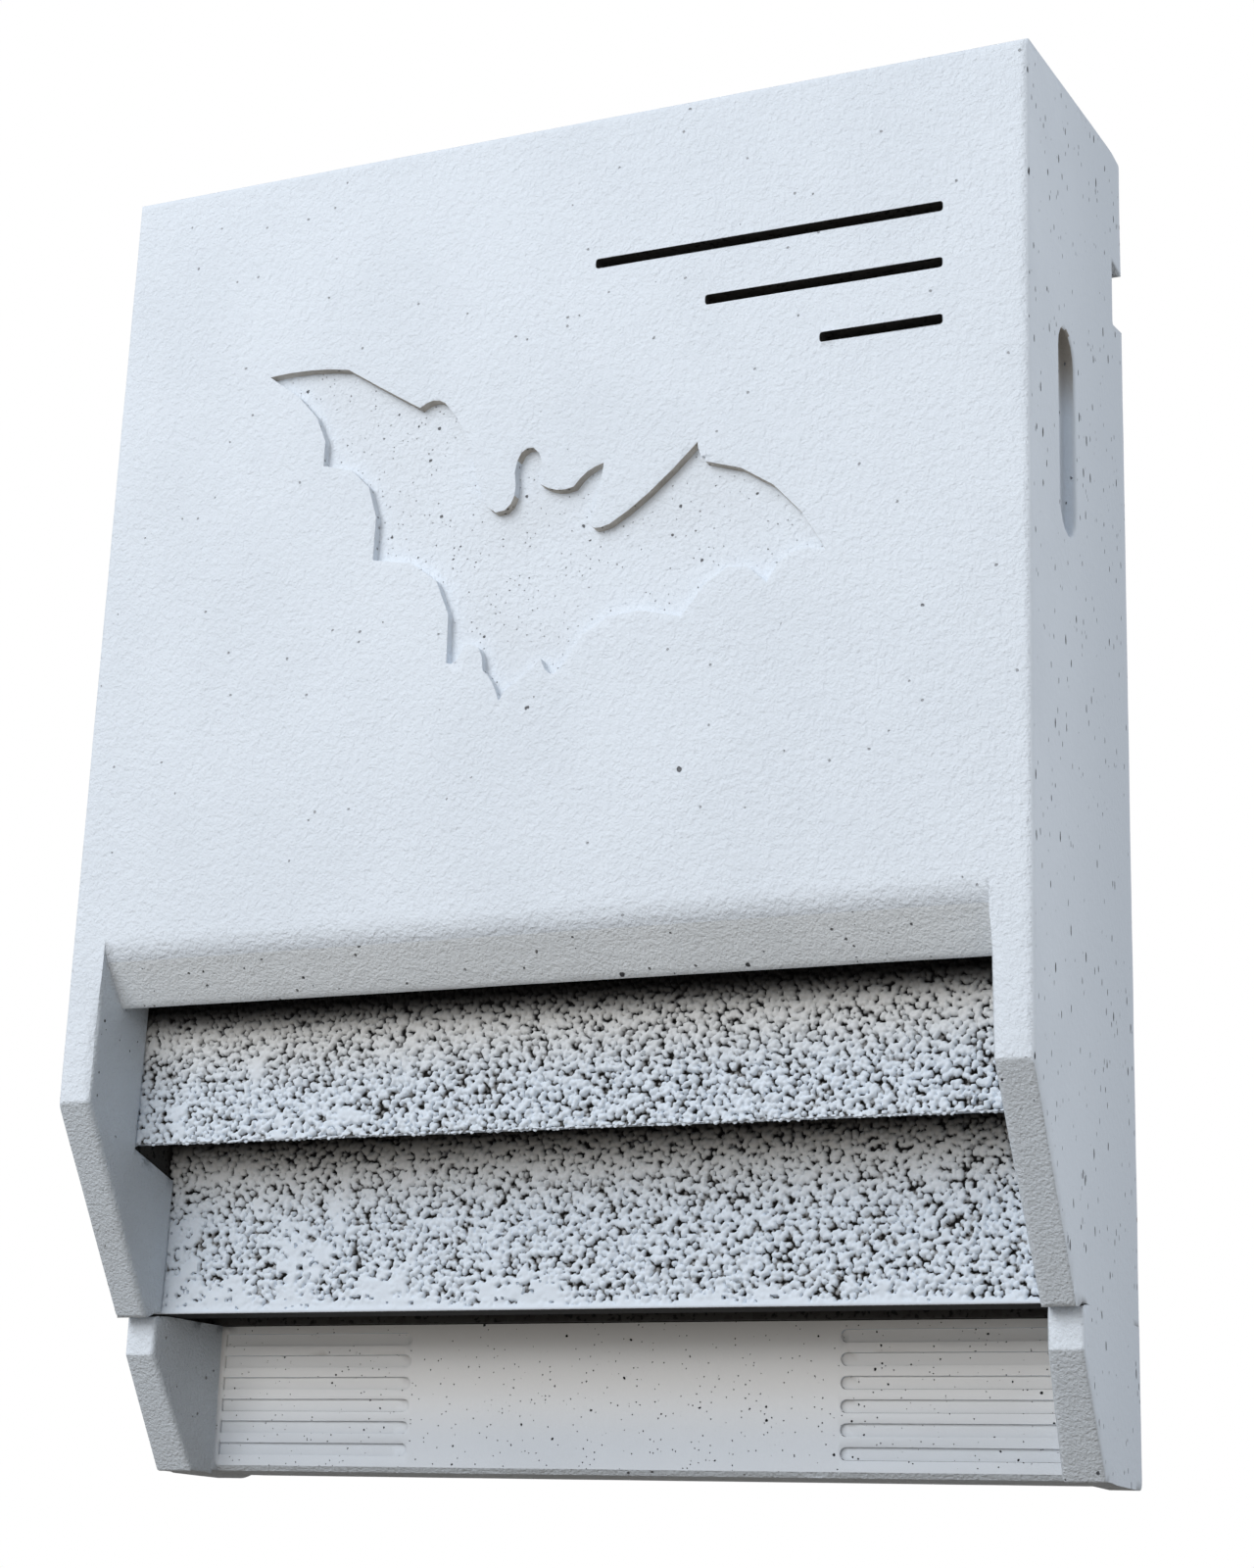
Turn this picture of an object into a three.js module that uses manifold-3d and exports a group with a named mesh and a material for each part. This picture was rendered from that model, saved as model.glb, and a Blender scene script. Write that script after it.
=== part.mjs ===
// Bat box cast in lightweight wood concrete, hung on a wall by a bevelled rail.
// Units are millimetres. +Z is up, the wall is the plane y = 0 and the box stands out towards -Y.
// The model is laid out from its feet at z = 0 and is then lowered by the height of the rail's
// screws, so the origin of the finished group is on the wall, midway along the screw line.

import * as THREE from 'three';
import { mergeVertices } from 'three/addons/utils/BufferGeometryUtils.js';
import Module from 'manifold-3d';

const wasm = await Module();
wasm.setup();

// Driving dimensions of the whole box

const width = 380;
const backHeight = 530;
const roofFall = 22;

// Clearances

const seam = 0.3;
const sideClearance = 0.4;
const overrun = 2;
const weldTolerance = 0.0001;

// Walls and spaces from the front face to the wall, which add up to the depth

const frontWall = 18;
const frontCrevice = 16;
const frontBaffleThickness = 13;
const frontBaffleRise = 4.5;
const middleCrevice = 16;
const middleBaffleThickness = 15;
const rearCrevice = 24;
const rearWall = 38;
const topWall = 20;
const sideWall = 11;
const cheekTop = 15.5;
const cheekFoot = 13.2;

// Hood

const edgeRadius = 3;
const bendHeight = 130;
const bendRadius = 2;
const mouthHeight = 188;
const lipDrop = 21.5;
const lipRadius = 14;
const lipInnerRadius = 2;
const ledgeHeight = 117.7;
const ledgeDrop = 8.1;
const dripReach = 8;
const dripDrop = 2.8;
const dripRadius = 2;
const dripThickness = 7.4;

// Base casting with the landing plate

const baseHeight = 57.5;
const baseCheekReach = 45;
const baseCheekTopRadius = 3;
const baseBendHeight = 42;
const baseToeReach = 16;
const baseToeRadius = 1.5;
const baseHeelRadius = 4;
const baseCheekFront = 13;
const baseCheekBack = 17.5;
const baseFillet = 2;
const landingStep = 3;
const landingToeChamfer = 2;
const footWidth = 11;
const footChamferWidth = 2.7;
const footHeight = 1.5;

// Landing grooves, cut in two ladders beside the bare middle of the plate

const grooveCount = 6;
const groovePitch = 8.4;
const grooveHeight = 4.6;
const grooveDepth = 1.2;
const grooveTopMargin = 3.2;
const grooveInnerEnd = 88;
const grooveOuterMargin = 0.8;

// Baffles, which end below the roof to leave a gallery, and their spacers

const frontGallery = 36;
const middleGallery = 32;
const spacerWidth = 8;
const spacerBottomMargin = 30;
const spacerTopMargin = 12;

// Vent slots, all ending on one line at the right

const ventCount = 3;
const ventHeight = 3.8;
const ventCornerRadius = 1.2;
const ventPitch = 22.5;
const ventDrop = 63;
const ventSideMargin = 32;
const ventLongest = 137.5;
const ventStep = 45.5;

// Sunk bat figure

const batWidth = 235;
const batHeight = 146;
const batOffset = -2.5;
const batDrop = 89;
const batDepth = 3;

// Carrying grips in the side walls

const gripWidth = 22;
const gripLength = 81;
const gripDrop = 156.5;
const gripFromFront = 52.5;
const gripDepth = 5.5;

// Groove for the hanging rail, set out from the line of the screws

const screwDrop = 62;
const railGrooveLipRise = 10;
const railGrooveFloorDrop = 18;
const railGrooveFloorRise = 3;
const railGrooveRun = 15.3;
const notchRadius = 1.5;

// Hanging rail, a folded aluminium strip

const railEndMargin = 40;
const railThickness = 3;
const railFootDrop = 11;
const railHookRun = 12;
const railHoleMargin = 30;

// Screws, washers and wall plugs

const screwCount = 3;
const screwRadius = 3;
const screwLength = 60;
const screwTipLength = 6;
const screwHeadAcross = 10;
const screwHeadHeight = 4;
const screwHeadSides = 6;
const screwClearance = 0.4;
const washerRadius = 6;
const washerThickness = 1.2;
const plugRadius = 5;
const plugLength = 50;
const plugTipWall = 2;

// Smoothness of round parts, as counts of segments

const cornerSegments = 4;
const roundSegments = 24;
const plugSegments = 16;

// Sizes that follow from the ones above

const halfWidth = width / 2;
const frontHeight = backHeight - roofFall;
const middleBaffleBackDepth = rearWall + rearCrevice;
const middleShoulderDepth = middleBaffleBackDepth + middleBaffleThickness;
const frontBaffleBackDepth = middleShoulderDepth + middleCrevice;
const frontShoulderDepth = frontBaffleBackDepth + frontBaffleThickness;
const innerFaceDepth = frontShoulderDepth + frontCrevice;
const depth = innerFaceDepth + frontWall;
const roofSlope = roofFall / depth;
const landingDepth = rearWall - landingStep;
const baseCheekDepth = landingDepth + baseCheekReach;
const baseToeDepth = landingDepth + baseToeReach;
const dripDepth = baseCheekDepth + dripReach;
const gripFromWall = depth - gripFromFront;
const seamHeight = baseHeight + seam;
const chamberHalfWidth = halfWidth - sideWall;
const slabHalfWidth = chamberHalfWidth - sideClearance;
const mouthInnerHeight = mouthHeight - lipDrop;
const crevicesTop = frontHeight - topWall;
const frontBaffleTop = crevicesTop - frontGallery;
const middleBaffleTop = crevicesTop - middleGallery;
const ventTopHeight = frontHeight - ventDrop;
const ventRightEnd = halfWidth - ventSideMargin;
const batLeft = batOffset - batWidth / 2;
const batBottom = frontHeight - batDrop - batHeight;
const gripHeight = backHeight - gripDrop;
const screwHeight = backHeight - screwDrop;
const railGrooveLip = screwHeight + railGrooveLipRise;
const railGrooveFloor = screwHeight - railGrooveFloorDrop;
const railLength = width - railEndMargin * 2;
const screwPitch = (railLength - railHoleMargin * 2) / (screwCount - 1);
const railFootHeight = screwHeight - railFootDrop;

// Materials, in the colours of the photograph

const paintedCasting = new THREE.MeshStandardMaterial({ color: 0xdde3ec, roughness: 0.85, metalness: 0 });
const paintedBase = new THREE.MeshStandardMaterial({ color: 0xcfd4da, roughness: 0.85, metalness: 0 });
const openConcrete = new THREE.MeshStandardMaterial({ color: 0xc9ced6, roughness: 0.95, metalness: 0 });
const bareConcrete = new THREE.MeshStandardMaterial({ color: 0x6f7072, roughness: 0.95, metalness: 0 });
const millAluminium = new THREE.MeshStandardMaterial({ color: 0xb9bcc0, roughness: 0.4, metalness: 1 });
const zincSteel = new THREE.MeshStandardMaterial({ color: 0xa9adb2, roughness: 0.35, metalness: 1 });
const greyPlastic = new THREE.MeshStandardMaterial({ color: 0x8b8f94, roughness: 0.6, metalness: 0 });

// Solids and booleans

function toSolid(geometry) {
  const bare = geometry.clone();
  bare.deleteAttribute('normal');
  bare.deleteAttribute('uv');
  const welded = mergeVertices(bare, weldTolerance);
  return new wasm.Manifold(new wasm.Mesh({
    numProp: 3,
    vertProperties: new Float32Array(welded.getAttribute('position').array),
    triVerts: new Uint32Array(welded.index.array),
  }));
}

function toGeometry(solid) {
  const mesh = solid.getMesh();
  const geometry = new THREE.BufferGeometry();
  geometry.setAttribute('position', new THREE.BufferAttribute(new Float32Array(mesh.vertProperties), 3));
  geometry.setIndex(new THREE.BufferAttribute(new Uint32Array(mesh.triVerts), 1));
  geometry.computeVertexNormals();
  return geometry;
}

function cutFrom(body, tools) {
  return tools.reduce((rest, tool) => rest.subtract(tool), body);
}

// Outline through corners [u, v, radius], with each corner that has a radius rounded off

function outline(corners) {
  const shape = new THREE.Shape();
  corners.forEach(([u, v, radius = 0], i) => {
    const corner = new THREE.Vector2(u, v);
    const before = new THREE.Vector2(...corners.at(i - 1).slice(0, 2)).sub(corner);
    const after = new THREE.Vector2(...corners[(i + 1) % corners.length].slice(0, 2)).sub(corner);
    const halfAngle = Math.acos(before.dot(after) / (before.length() * after.length())) / 2;
    const cutBack = Math.min(radius / Math.tan(halfAngle), before.length() / 2, after.length() / 2);
    const start = before.setLength(cutBack).add(corner);
    const end = after.setLength(cutBack).add(corner);
    if (i === 0) shape.moveTo(start.x, start.y);
    else shape.lineTo(start.x, start.y);
    if (radius > 0) shape.quadraticCurveTo(u, v, end.x, end.y);
  });
  return shape;
}

function extruded(shape, length, segments, matrix) {
  const geometry = new THREE.ExtrudeGeometry(shape, { depth: length, bevelEnabled: false, curveSegments: segments });
  return toSolid(geometry.applyMatrix4(matrix));
}

// Outline in (y, z), drawn out along X between two places

function alongX(shape, from, to) {
  const axes = new THREE.Matrix4().makeBasis(
    new THREE.Vector3(0, 1, 0), new THREE.Vector3(0, 0, 1), new THREE.Vector3(1, 0, 0));
  return extruded(shape, to - from, cornerSegments, axes.setPosition(from, 0, 0));
}

// Outline in (x, z), drawn out from one distance off the wall to a larger one

function offWall(shape, near, far, segments = cornerSegments) {
  const axes = new THREE.Matrix4().makeBasis(
    new THREE.Vector3(1, 0, 0), new THREE.Vector3(0, 0, 1), new THREE.Vector3(0, -1, 0));
  return extruded(shape, far - near, segments, axes.setPosition(0, -near, 0));
}

// Outline in (x, y), drawn out upwards between two heights

function upwards(shape, low, high) {
  return extruded(shape, high - low, cornerSegments, new THREE.Matrix4().makeTranslation(0, 0, low));
}

// Groove with a half-round inner end and a square outer end, on the left (-1) or the right (1)

function grooveShape(side, innerEnd, outerEnd, top, height) {
  const shape = new THREE.Shape();
  const radius = height / 2;
  const middle = top - radius;
  shape.moveTo(side * outerEnd, middle - side * radius);
  shape.lineTo(side * outerEnd, middle + side * radius);
  shape.absarc(side * (innerEnd + radius), middle, radius, side * Math.PI / 2, side * Math.PI / 2 + Math.PI, false);
  shape.closePath();
  return shape;
}

// Cylinder or prism whose axis runs square to the wall, between two distances off it

function post(radius, near, far, x, z, segments) {
  const geometry = new THREE.CylinderGeometry(radius, radius, far - near, segments);
  geometry.translate(x, -(near + far) / 2, z);
  return toSolid(geometry);
}

function underRoof(y) {
  return crevicesTop + roofSlope * (depth + y);
}

// Hood: front plate, roof, side walls and the upper cheeks in one casting

function hoodOuter() {
  const side = outline([
    [0, backHeight],
    [-depth, frontHeight, edgeRadius],
    [-depth, bendHeight, bendRadius],
    [-dripDepth, seamHeight - dripDrop, dripRadius],
    [-dripDepth + dripThickness, seamHeight],
    [0, seamHeight],
  ]);
  const plan = outline([
    [-halfWidth, 0],
    [-halfWidth, -depth, edgeRadius],
    [halfWidth, -depth, edgeRadius],
    [halfWidth, 0],
  ]);
  const front = outline([
    [-halfWidth, 0],
    [halfWidth, 0],
    [halfWidth, backHeight, edgeRadius],
    [-halfWidth, backHeight, edgeRadius],
  ]);
  return alongX(side, -halfWidth, halfWidth)
    .intersect(upwards(plan, 0, backHeight))
    .intersect(offWall(front, 0, depth));
}

// The mouth between the splayed cheeks, with its slanted upper lip, and the front crevice behind it

function mouthCut() {
  const low = seamHeight - overrun - dripDrop;
  const high = underRoof(overrun);
  const top = halfWidth - cheekTop;
  const foot = halfWidth - cheekFoot;
  const side = outline([
    [overrun, low],
    [overrun, high],
    [-innerFaceDepth, underRoof(-innerFaceDepth)],
    [-innerFaceDepth, mouthInnerHeight, lipInnerRadius],
    [-depth, mouthHeight, lipRadius],
    [-depth, mouthHeight + lipRadius],
    [-depth - overrun, mouthHeight + lipRadius],
    [-depth - overrun, low],
  ]);
  const front = outline([
    [-foot, low],
    [foot, low],
    [top, mouthHeight],
    [top, high],
    [-top, high],
    [-top, mouthHeight],
  ]);
  return alongX(side, -halfWidth, halfWidth).intersect(offWall(front, -overrun, depth + overrun));
}

// The chamber behind the shoulders that the two baffles bear on, open at the back

function chamberCut() {
  return alongX(outline([
    [overrun, seamHeight - overrun - dripDrop],
    [overrun, underRoof(overrun)],
    [-frontShoulderDepth, underRoof(-frontShoulderDepth)],
    [-frontShoulderDepth, ledgeHeight],
    [-middleShoulderDepth, ledgeHeight - ledgeDrop],
    [-middleShoulderDepth, seamHeight - overrun - dripDrop],
  ]), -chamberHalfWidth, chamberHalfWidth);
}

function ventCuts() {
  return Array.from({ length: ventCount }, (_, i) => {
    const left = ventRightEnd - ventLongest + ventStep * i;
    const middle = ventTopHeight - ventPitch * i;
    const shape = outline([
      [left, middle - ventHeight / 2, ventCornerRadius],
      [ventRightEnd, middle - ventHeight / 2, ventCornerRadius],
      [ventRightEnd, middle + ventHeight / 2, ventCornerRadius],
      [left, middle + ventHeight / 2, ventCornerRadius],
    ]);
    return offWall(shape, innerFaceDepth - overrun, depth + overrun);
  });
}

// Bat with spread wings, as curves [control x, control z, end x, end z] in shares of its frame

const batStartShares = [0, 1];
const batCurveShares = [
  [0.08, 1.01, 0.15, 0.985],
  [0.21, 0.92, 0.29, 0.84],
  [0.315, 0.87, 0.335, 0.845],
  [0.38, 0.77, 0.4, 0.62],
  [0.42, 0.49, 0.455, 0.515],
  [0.48, 0.54, 0.47, 0.62],
  [0.475, 0.69, 0.5, 0.68],
  [0.525, 0.65, 0.515, 0.575],
  [0.545, 0.54, 0.575, 0.555],
  [0.595, 0.6, 0.625, 0.61],
  [0.62, 0.53, 0.605, 0.455],
  [0.605, 0.42, 0.64, 0.44],
  [0.7, 0.49, 0.785, 0.63],
  [0.785, 0.6, 0.8, 0.575],
  [0.925, 0.54, 1, 0.3],
  [0.935, 0.345, 0.905, 0.235],
  [0.845, 0.37, 0.765, 0.17],
  [0.62, 0.265, 0.565, 0.07],
  [0.545, 0.03, 0.53, 0.1],
  [0.505, 0.06, 0.48, 0.035],
  [0.47, 0.03, 0.46, 0],
  [0.45, 0.06, 0.43, 0.085],
  [0.43, 0.17, 0.395, 0.16],
  [0.38, 0.1, 0.365, 0.115],
  [0.385, 0.42, 0.22, 0.425],
  [0.24, 0.7, 0.115, 0.715],
  [0.135, 0.86, 0, 1],
];

function batCut() {
  const toX = (share) => batLeft + share * batWidth;
  const toZ = (share) => batBottom + share * batHeight;
  const shape = new THREE.Shape();
  shape.moveTo(toX(batStartShares[0]), toZ(batStartShares[1]));
  for (const [controlX, controlZ, endX, endZ] of batCurveShares) {
    shape.quadraticCurveTo(toX(controlX), toZ(controlZ), toX(endX), toZ(endZ));
  }
  return offWall(shape, depth - batDepth, depth + overrun);
}

function gripCuts() {
  return [-1, 1].map((side) => {
    const shape = new THREE.Shape();
    const radius = gripWidth / 2;
    const reach = gripLength / 2 - radius;
    shape.absarc(-gripFromWall, gripHeight + reach, radius, 0, Math.PI, false);
    shape.absarc(-gripFromWall, gripHeight - reach, radius, Math.PI, Math.PI * 2, false);
    shape.closePath();
    const inner = side * (halfWidth - gripDepth);
    const outer = side * (halfWidth + overrun);
    return alongX(shape, Math.min(inner, outer), Math.max(inner, outer));
  });
}

function sideNotchCut() {
  return alongX(outline([
    [overrun, railGrooveFloor + railGrooveFloorRise],
    [overrun, railGrooveLip],
    [-railGrooveRun, railGrooveLip, notchRadius],
    [-railGrooveRun, railGrooveFloor, notchRadius],
    [0, railGrooveFloor + railGrooveFloorRise],
  ]), -halfWidth - overrun, halfWidth + overrun);
}

function makeHood() {
  return cutFrom(hoodOuter(), [
    mouthCut(), chamberCut(), ...ventCuts(), batCut(), ...gripCuts(), sideNotchCut(),
  ]);
}

// Base: landing plate, lower cheeks and the two feet in one casting

function baseOuter() {
  const side = outline([
    [0, 0, baseHeelRadius],
    [0, baseHeight],
    [-baseCheekDepth, baseHeight, baseCheekTopRadius],
    [-baseCheekDepth, baseBendHeight, baseToeRadius],
    [-baseToeDepth, 0, baseToeRadius],
  ]);
  const plan = outline([
    [-halfWidth, 0],
    [-halfWidth, -baseCheekDepth, baseToeRadius],
    [halfWidth, -baseCheekDepth, baseToeRadius],
    [halfWidth, 0],
  ]);
  return alongX(side, -halfWidth, halfWidth).intersect(upwards(plan, 0, baseHeight));
}

function landingPocket() {
  const front = halfWidth - baseCheekFront;
  const back = halfWidth - baseCheekBack;
  const splay = (front - back) / (baseCheekDepth - landingDepth);
  return upwards(outline([
    [-front - splay * overrun, -baseCheekDepth - overrun],
    [front + splay * overrun, -baseCheekDepth - overrun],
    [back, -landingDepth, baseFillet],
    [-back, -landingDepth, baseFillet],
  ]), -overrun, baseHeight + overrun);
}

function underRelief() {
  const foot = halfWidth - footWidth;
  const chamfer = footChamferWidth * overrun / footHeight;
  return offWall(outline([
    [-foot - chamfer, -overrun],
    [foot + chamfer, -overrun],
    [foot - footChamferWidth, footHeight],
    [-foot + footChamferWidth, footHeight],
  ]), -overrun, landingDepth + overrun);
}

function toeChamferCut() {
  const reach = halfWidth - baseCheekBack;
  return alongX(outline([
    [-landingDepth - overrun, footHeight - overrun],
    [-landingDepth + landingToeChamfer + overrun, footHeight - overrun],
    [-landingDepth - overrun, footHeight + landingToeChamfer + overrun],
  ]), -reach, reach);
}

function landingGrooves() {
  const outerEnd = halfWidth - baseCheekBack - grooveOuterMargin;
  const cuts = [];
  for (const side of [-1, 1]) {
    for (let i = 0; i < grooveCount; i += 1) {
      const top = baseHeight - grooveTopMargin - groovePitch * i;
      const shape = grooveShape(side, grooveInnerEnd, outerEnd, top, grooveHeight);
      cuts.push(offWall(shape, landingDepth - grooveDepth, landingDepth + overrun));
    }
  }
  return cuts;
}

function makeBase() {
  return cutFrom(baseOuter(), [landingPocket(), underRelief(), toeChamferCut(), ...landingGrooves()]);
}

// Rear wall, standing on the base behind the last crevice, with the bevelled rail groove

function makeRearWall() {
  const slab = alongX(outline([
    [0, seamHeight],
    [0, underRoof(0) - seam],
    [-rearWall, underRoof(-rearWall) - seam],
    [-rearWall, seamHeight],
  ]), -slabHalfWidth, slabHalfWidth);
  const groove = alongX(outline([
    [overrun, railGrooveFloor + railGrooveFloorRise],
    [overrun, railGrooveLip - overrun],
    [-railGrooveRun, railGrooveLip + railGrooveRun],
    [-railGrooveRun, railGrooveFloor],
    [0, railGrooveFloor + railGrooveFloorRise],
  ]), -halfWidth, halfWidth);
  return slab.subtract(groove);
}

// Front baffle, standing with its front edge on the hood's sloping ledges and bearing on its shoulders

function makeFrontBaffle() {
  const ledgeSlope = ledgeDrop / (frontShoulderDepth - middleShoulderDepth);
  const face = frontShoulderDepth - seam;
  const foot = ledgeHeight + seam - ledgeSlope * (frontShoulderDepth - face);
  return alongX(outline([
    [-face, frontBaffleTop],
    [-face, foot],
    [-frontBaffleBackDepth, foot + frontBaffleRise],
    [-frontBaffleBackDepth, frontBaffleTop],
  ]), -slabHalfWidth, slabHalfWidth);
}

// Middle baffle, standing on the base's cheeks

function makeMiddleBaffle() {
  const face = middleShoulderDepth - seam;
  return alongX(outline([
    [-face, middleBaffleTop],
    [-face, seamHeight],
    [-middleBaffleBackDepth, seamHeight],
    [-middleBaffleBackDepth, middleBaffleTop],
  ]), -slabHalfWidth, slabHalfWidth);
}

// Strip that keeps two slabs apart at one side of the box

function makeSpacer(side, near, far, low, high) {
  const inner = side * (slabHalfWidth - spacerWidth);
  const outer = side * slabHalfWidth;
  return alongX(outline([
    [-far, low],
    [-near, low],
    [-near, high],
    [-far, high],
  ]), Math.min(inner, outer), Math.max(inner, outer));
}

// Rail: a flange on the wall whose upper edge is folded out at 45 degrees into the groove

function makeRail() {
  const hookTop = railGrooveLip - seam * Math.SQRT2;
  const fold = railThickness / Math.SQRT2;
  const underFold = hookTop - railThickness * Math.SQRT2;
  const strip = alongX(outline([
    [0, railFootHeight],
    [0, hookTop],
    [-railHookRun, hookTop + railHookRun],
    [-railHookRun - fold, hookTop + railHookRun - fold],
    [-railThickness, underFold + railThickness],
    [-railThickness, railFootHeight],
  ]), -railLength / 2, railLength / 2);
  const holes = screwPlaces().map((x) => (
    post(screwRadius + screwClearance, -overrun, railThickness + overrun, x, screwHeight, roundSegments)));
  return cutFrom(strip, holes);
}

function screwPlaces() {
  return Array.from({ length: screwCount }, (_, i) => screwPitch * (i - (screwCount - 1) / 2));
}

// Screw with a hexagon head, turned about an axis square to the wall

function makeScrew(x) {
  const seatDepth = railThickness + washerThickness + seam * 2;
  const shankEnd = seatDepth - screwLength;
  const profile = [
    [0, shankEnd],
    [screwRadius, shankEnd + screwTipLength],
    [screwRadius, seatDepth + screwHeadHeight / 2],
    [0, seatDepth + screwHeadHeight / 2],
  ].map(([radius, height]) => new THREE.Vector2(radius, height));
  const shank = new THREE.LatheGeometry(profile, roundSegments).applyMatrix4(standOffWall(x));
  const headRadius = screwHeadAcross / 2 / Math.cos(Math.PI / screwHeadSides);
  const head = post(headRadius, seatDepth, seatDepth + screwHeadHeight, x, screwHeight, screwHeadSides);
  return toSolid(shank).add(head);
}

function standOffWall(x) {
  return new THREE.Matrix4().makeRotationX(Math.PI).setPosition(x, 0, screwHeight);
}

function makeWasher(x) {
  const near = railThickness + seam;
  const far = near + washerThickness;
  const disc = post(washerRadius, near, far, x, screwHeight, roundSegments);
  return disc.subtract(post(screwRadius + screwClearance, near - overrun, far + overrun, x, screwHeight, roundSegments));
}

// Wall plug, closed at its far end, in the wall behind the rail

function makePlug(x) {
  const bore = screwRadius + screwClearance;
  const boreEnd = railThickness + washerThickness + seam * 2 - screwLength - screwClearance;
  const far = Math.min(-plugLength, boreEnd - plugTipWall);
  const body = post(plugRadius, far, -seam, x, screwHeight, plugSegments);
  return body.subtract(post(bore, boreEnd, overrun, x, screwHeight, plugSegments));
}

// Assembly

const batBox = new THREE.Group();
batBox.position.z = -screwHeight;

function place(name, solid, material) {
  const mesh = new THREE.Mesh(toGeometry(solid), material);
  mesh.name = name;
  batBox.add(mesh);
}

place('hood', makeHood(), paintedCasting);
place('base', makeBase(), paintedBase);
place('rear_wall', makeRearWall(), bareConcrete);
place('front_baffle', makeFrontBaffle(), openConcrete);
place('middle_baffle', makeMiddleBaffle(), openConcrete);

for (const [name, side] of [['left', -1], ['right', 1]]) {
  const frontLow = ledgeHeight + spacerBottomMargin;
  const rearLow = seamHeight + spacerBottomMargin;
  const frontHigh = frontBaffleTop - spacerTopMargin;
  const rearHigh = middleBaffleTop - spacerTopMargin;
  const frontGap = [middleShoulderDepth, frontBaffleBackDepth - seam];
  const rearGap = [rearWall + seam, middleBaffleBackDepth - seam];
  place(`front_spacer_${name}`, makeSpacer(side, ...frontGap, frontLow, frontHigh), bareConcrete);
  place(`rear_spacer_${name}`, makeSpacer(side, ...rearGap, rearLow, rearHigh), bareConcrete);
}

place('hanging_rail', makeRail(), millAluminium);
screwPlaces().forEach((x, i) => {
  place(`rail_screw_${i + 1}`, makeScrew(x), zincSteel);
  place(`rail_washer_${i + 1}`, makeWasher(x), zincSteel);
  place(`wall_plug_${i + 1}`, makePlug(x), greyPlastic);
});

const model = new THREE.Group();
model.add(batBox);

export default model;
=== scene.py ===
"""Bat box of painted wood concrete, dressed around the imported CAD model.

All lengths in the dataclass fields are millimetres in the frame of the part: the wall is the plane y = 0,
the box stands out towards -Y and z = 0 is the line of the hanging rail's screws.
"""

import logging
import math
from collections.abc import Callable
from dataclasses import dataclass, field
from enum import Enum
from functools import partial

import bmesh
import bpy
import numpy as np
from mathutils import Euler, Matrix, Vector, noise


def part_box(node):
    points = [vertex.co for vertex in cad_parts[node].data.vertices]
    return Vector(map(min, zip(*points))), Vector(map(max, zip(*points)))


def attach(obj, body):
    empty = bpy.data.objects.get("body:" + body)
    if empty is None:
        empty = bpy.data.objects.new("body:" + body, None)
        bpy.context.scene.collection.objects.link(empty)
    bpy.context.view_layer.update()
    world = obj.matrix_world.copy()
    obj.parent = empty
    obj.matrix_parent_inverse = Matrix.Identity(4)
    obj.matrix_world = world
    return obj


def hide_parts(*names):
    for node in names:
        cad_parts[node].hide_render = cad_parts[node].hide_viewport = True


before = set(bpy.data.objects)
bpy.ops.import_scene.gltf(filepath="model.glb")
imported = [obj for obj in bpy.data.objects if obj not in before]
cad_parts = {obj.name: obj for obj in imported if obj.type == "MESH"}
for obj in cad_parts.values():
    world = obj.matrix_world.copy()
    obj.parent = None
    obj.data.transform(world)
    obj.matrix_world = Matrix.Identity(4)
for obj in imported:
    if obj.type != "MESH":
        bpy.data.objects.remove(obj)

LOG = logging.getLogger("bat_box")
METRE = 1000.0
BODY = "box"
IMAGE_WIDTH = 1280
EVERYWHERE = (-METRE, METRE)

# Distance in millimetres within which two places count as one.
TOUCH = 0.01

# Part of a face's normal along an axis from which the face looks that way, at least partly or downwards.
FACING = 0.6
PARTLY = 0.5
DOWN = -0.25

Tree = bpy.types.NodeTree
Socket = bpy.types.NodeSocket
Inputs = dict[str | int, object]
Range = tuple[float, float]
Triple = tuple[float, float, float]


def mm(value: float) -> float:
    """Return a length in metres for one in millimetres."""
    return value / METRE


def linear(code: str) -> tuple[float, float, float, float]:
    """Turn an sRGB hex colour into the linear colour that Blender's sockets take.

    Args:
        code: Six hex digits, such as "e2e9f4".

    Returns:
        Red, green, blue and alpha, from 0 to 1.
    """
    channels = [int(code[i:i + 2], 16) / 255 for i in (0, 2, 4)]
    red, green, blue = (c / 12.92 if c <= 0.04045 else ((c + 0.055) / 1.055) ** 2.4 for c in channels)
    return (red, green, blue, 1.0)


def feed(tree: Tree, node: bpy.types.Node, inputs: Inputs) -> None:
    """Give a node's inputs, by name or number, their values or the sockets that feed them.

    Args:
        tree: The node's tree.
        node: The node.
        inputs: A value or an output socket for each input, by name or number.
    """
    for name, value in inputs.items():
        if isinstance(value, Socket):
            tree.links.new(value, node.inputs[name])
        else:
            node.inputs[name].default_value = value


def add_node(tree: Tree, kind: str, inputs: Inputs | None = None, **settings: object) -> bpy.types.Node:
    """Add one shader node to a tree, with its settings and what its inputs take.

    Args:
        tree: The node tree that the node goes into.
        kind: The node's type name after ShaderNode.
        inputs: A value or an output socket for each input, by name or number.
        **settings: Attributes of the node itself, such as its operation.

    Returns:
        The new node.
    """
    node = tree.nodes.new(f"ShaderNode{kind}")
    for name, value in settings.items():
        setattr(node, name, value)
    feed(tree, node, inputs or {})
    return node


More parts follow.
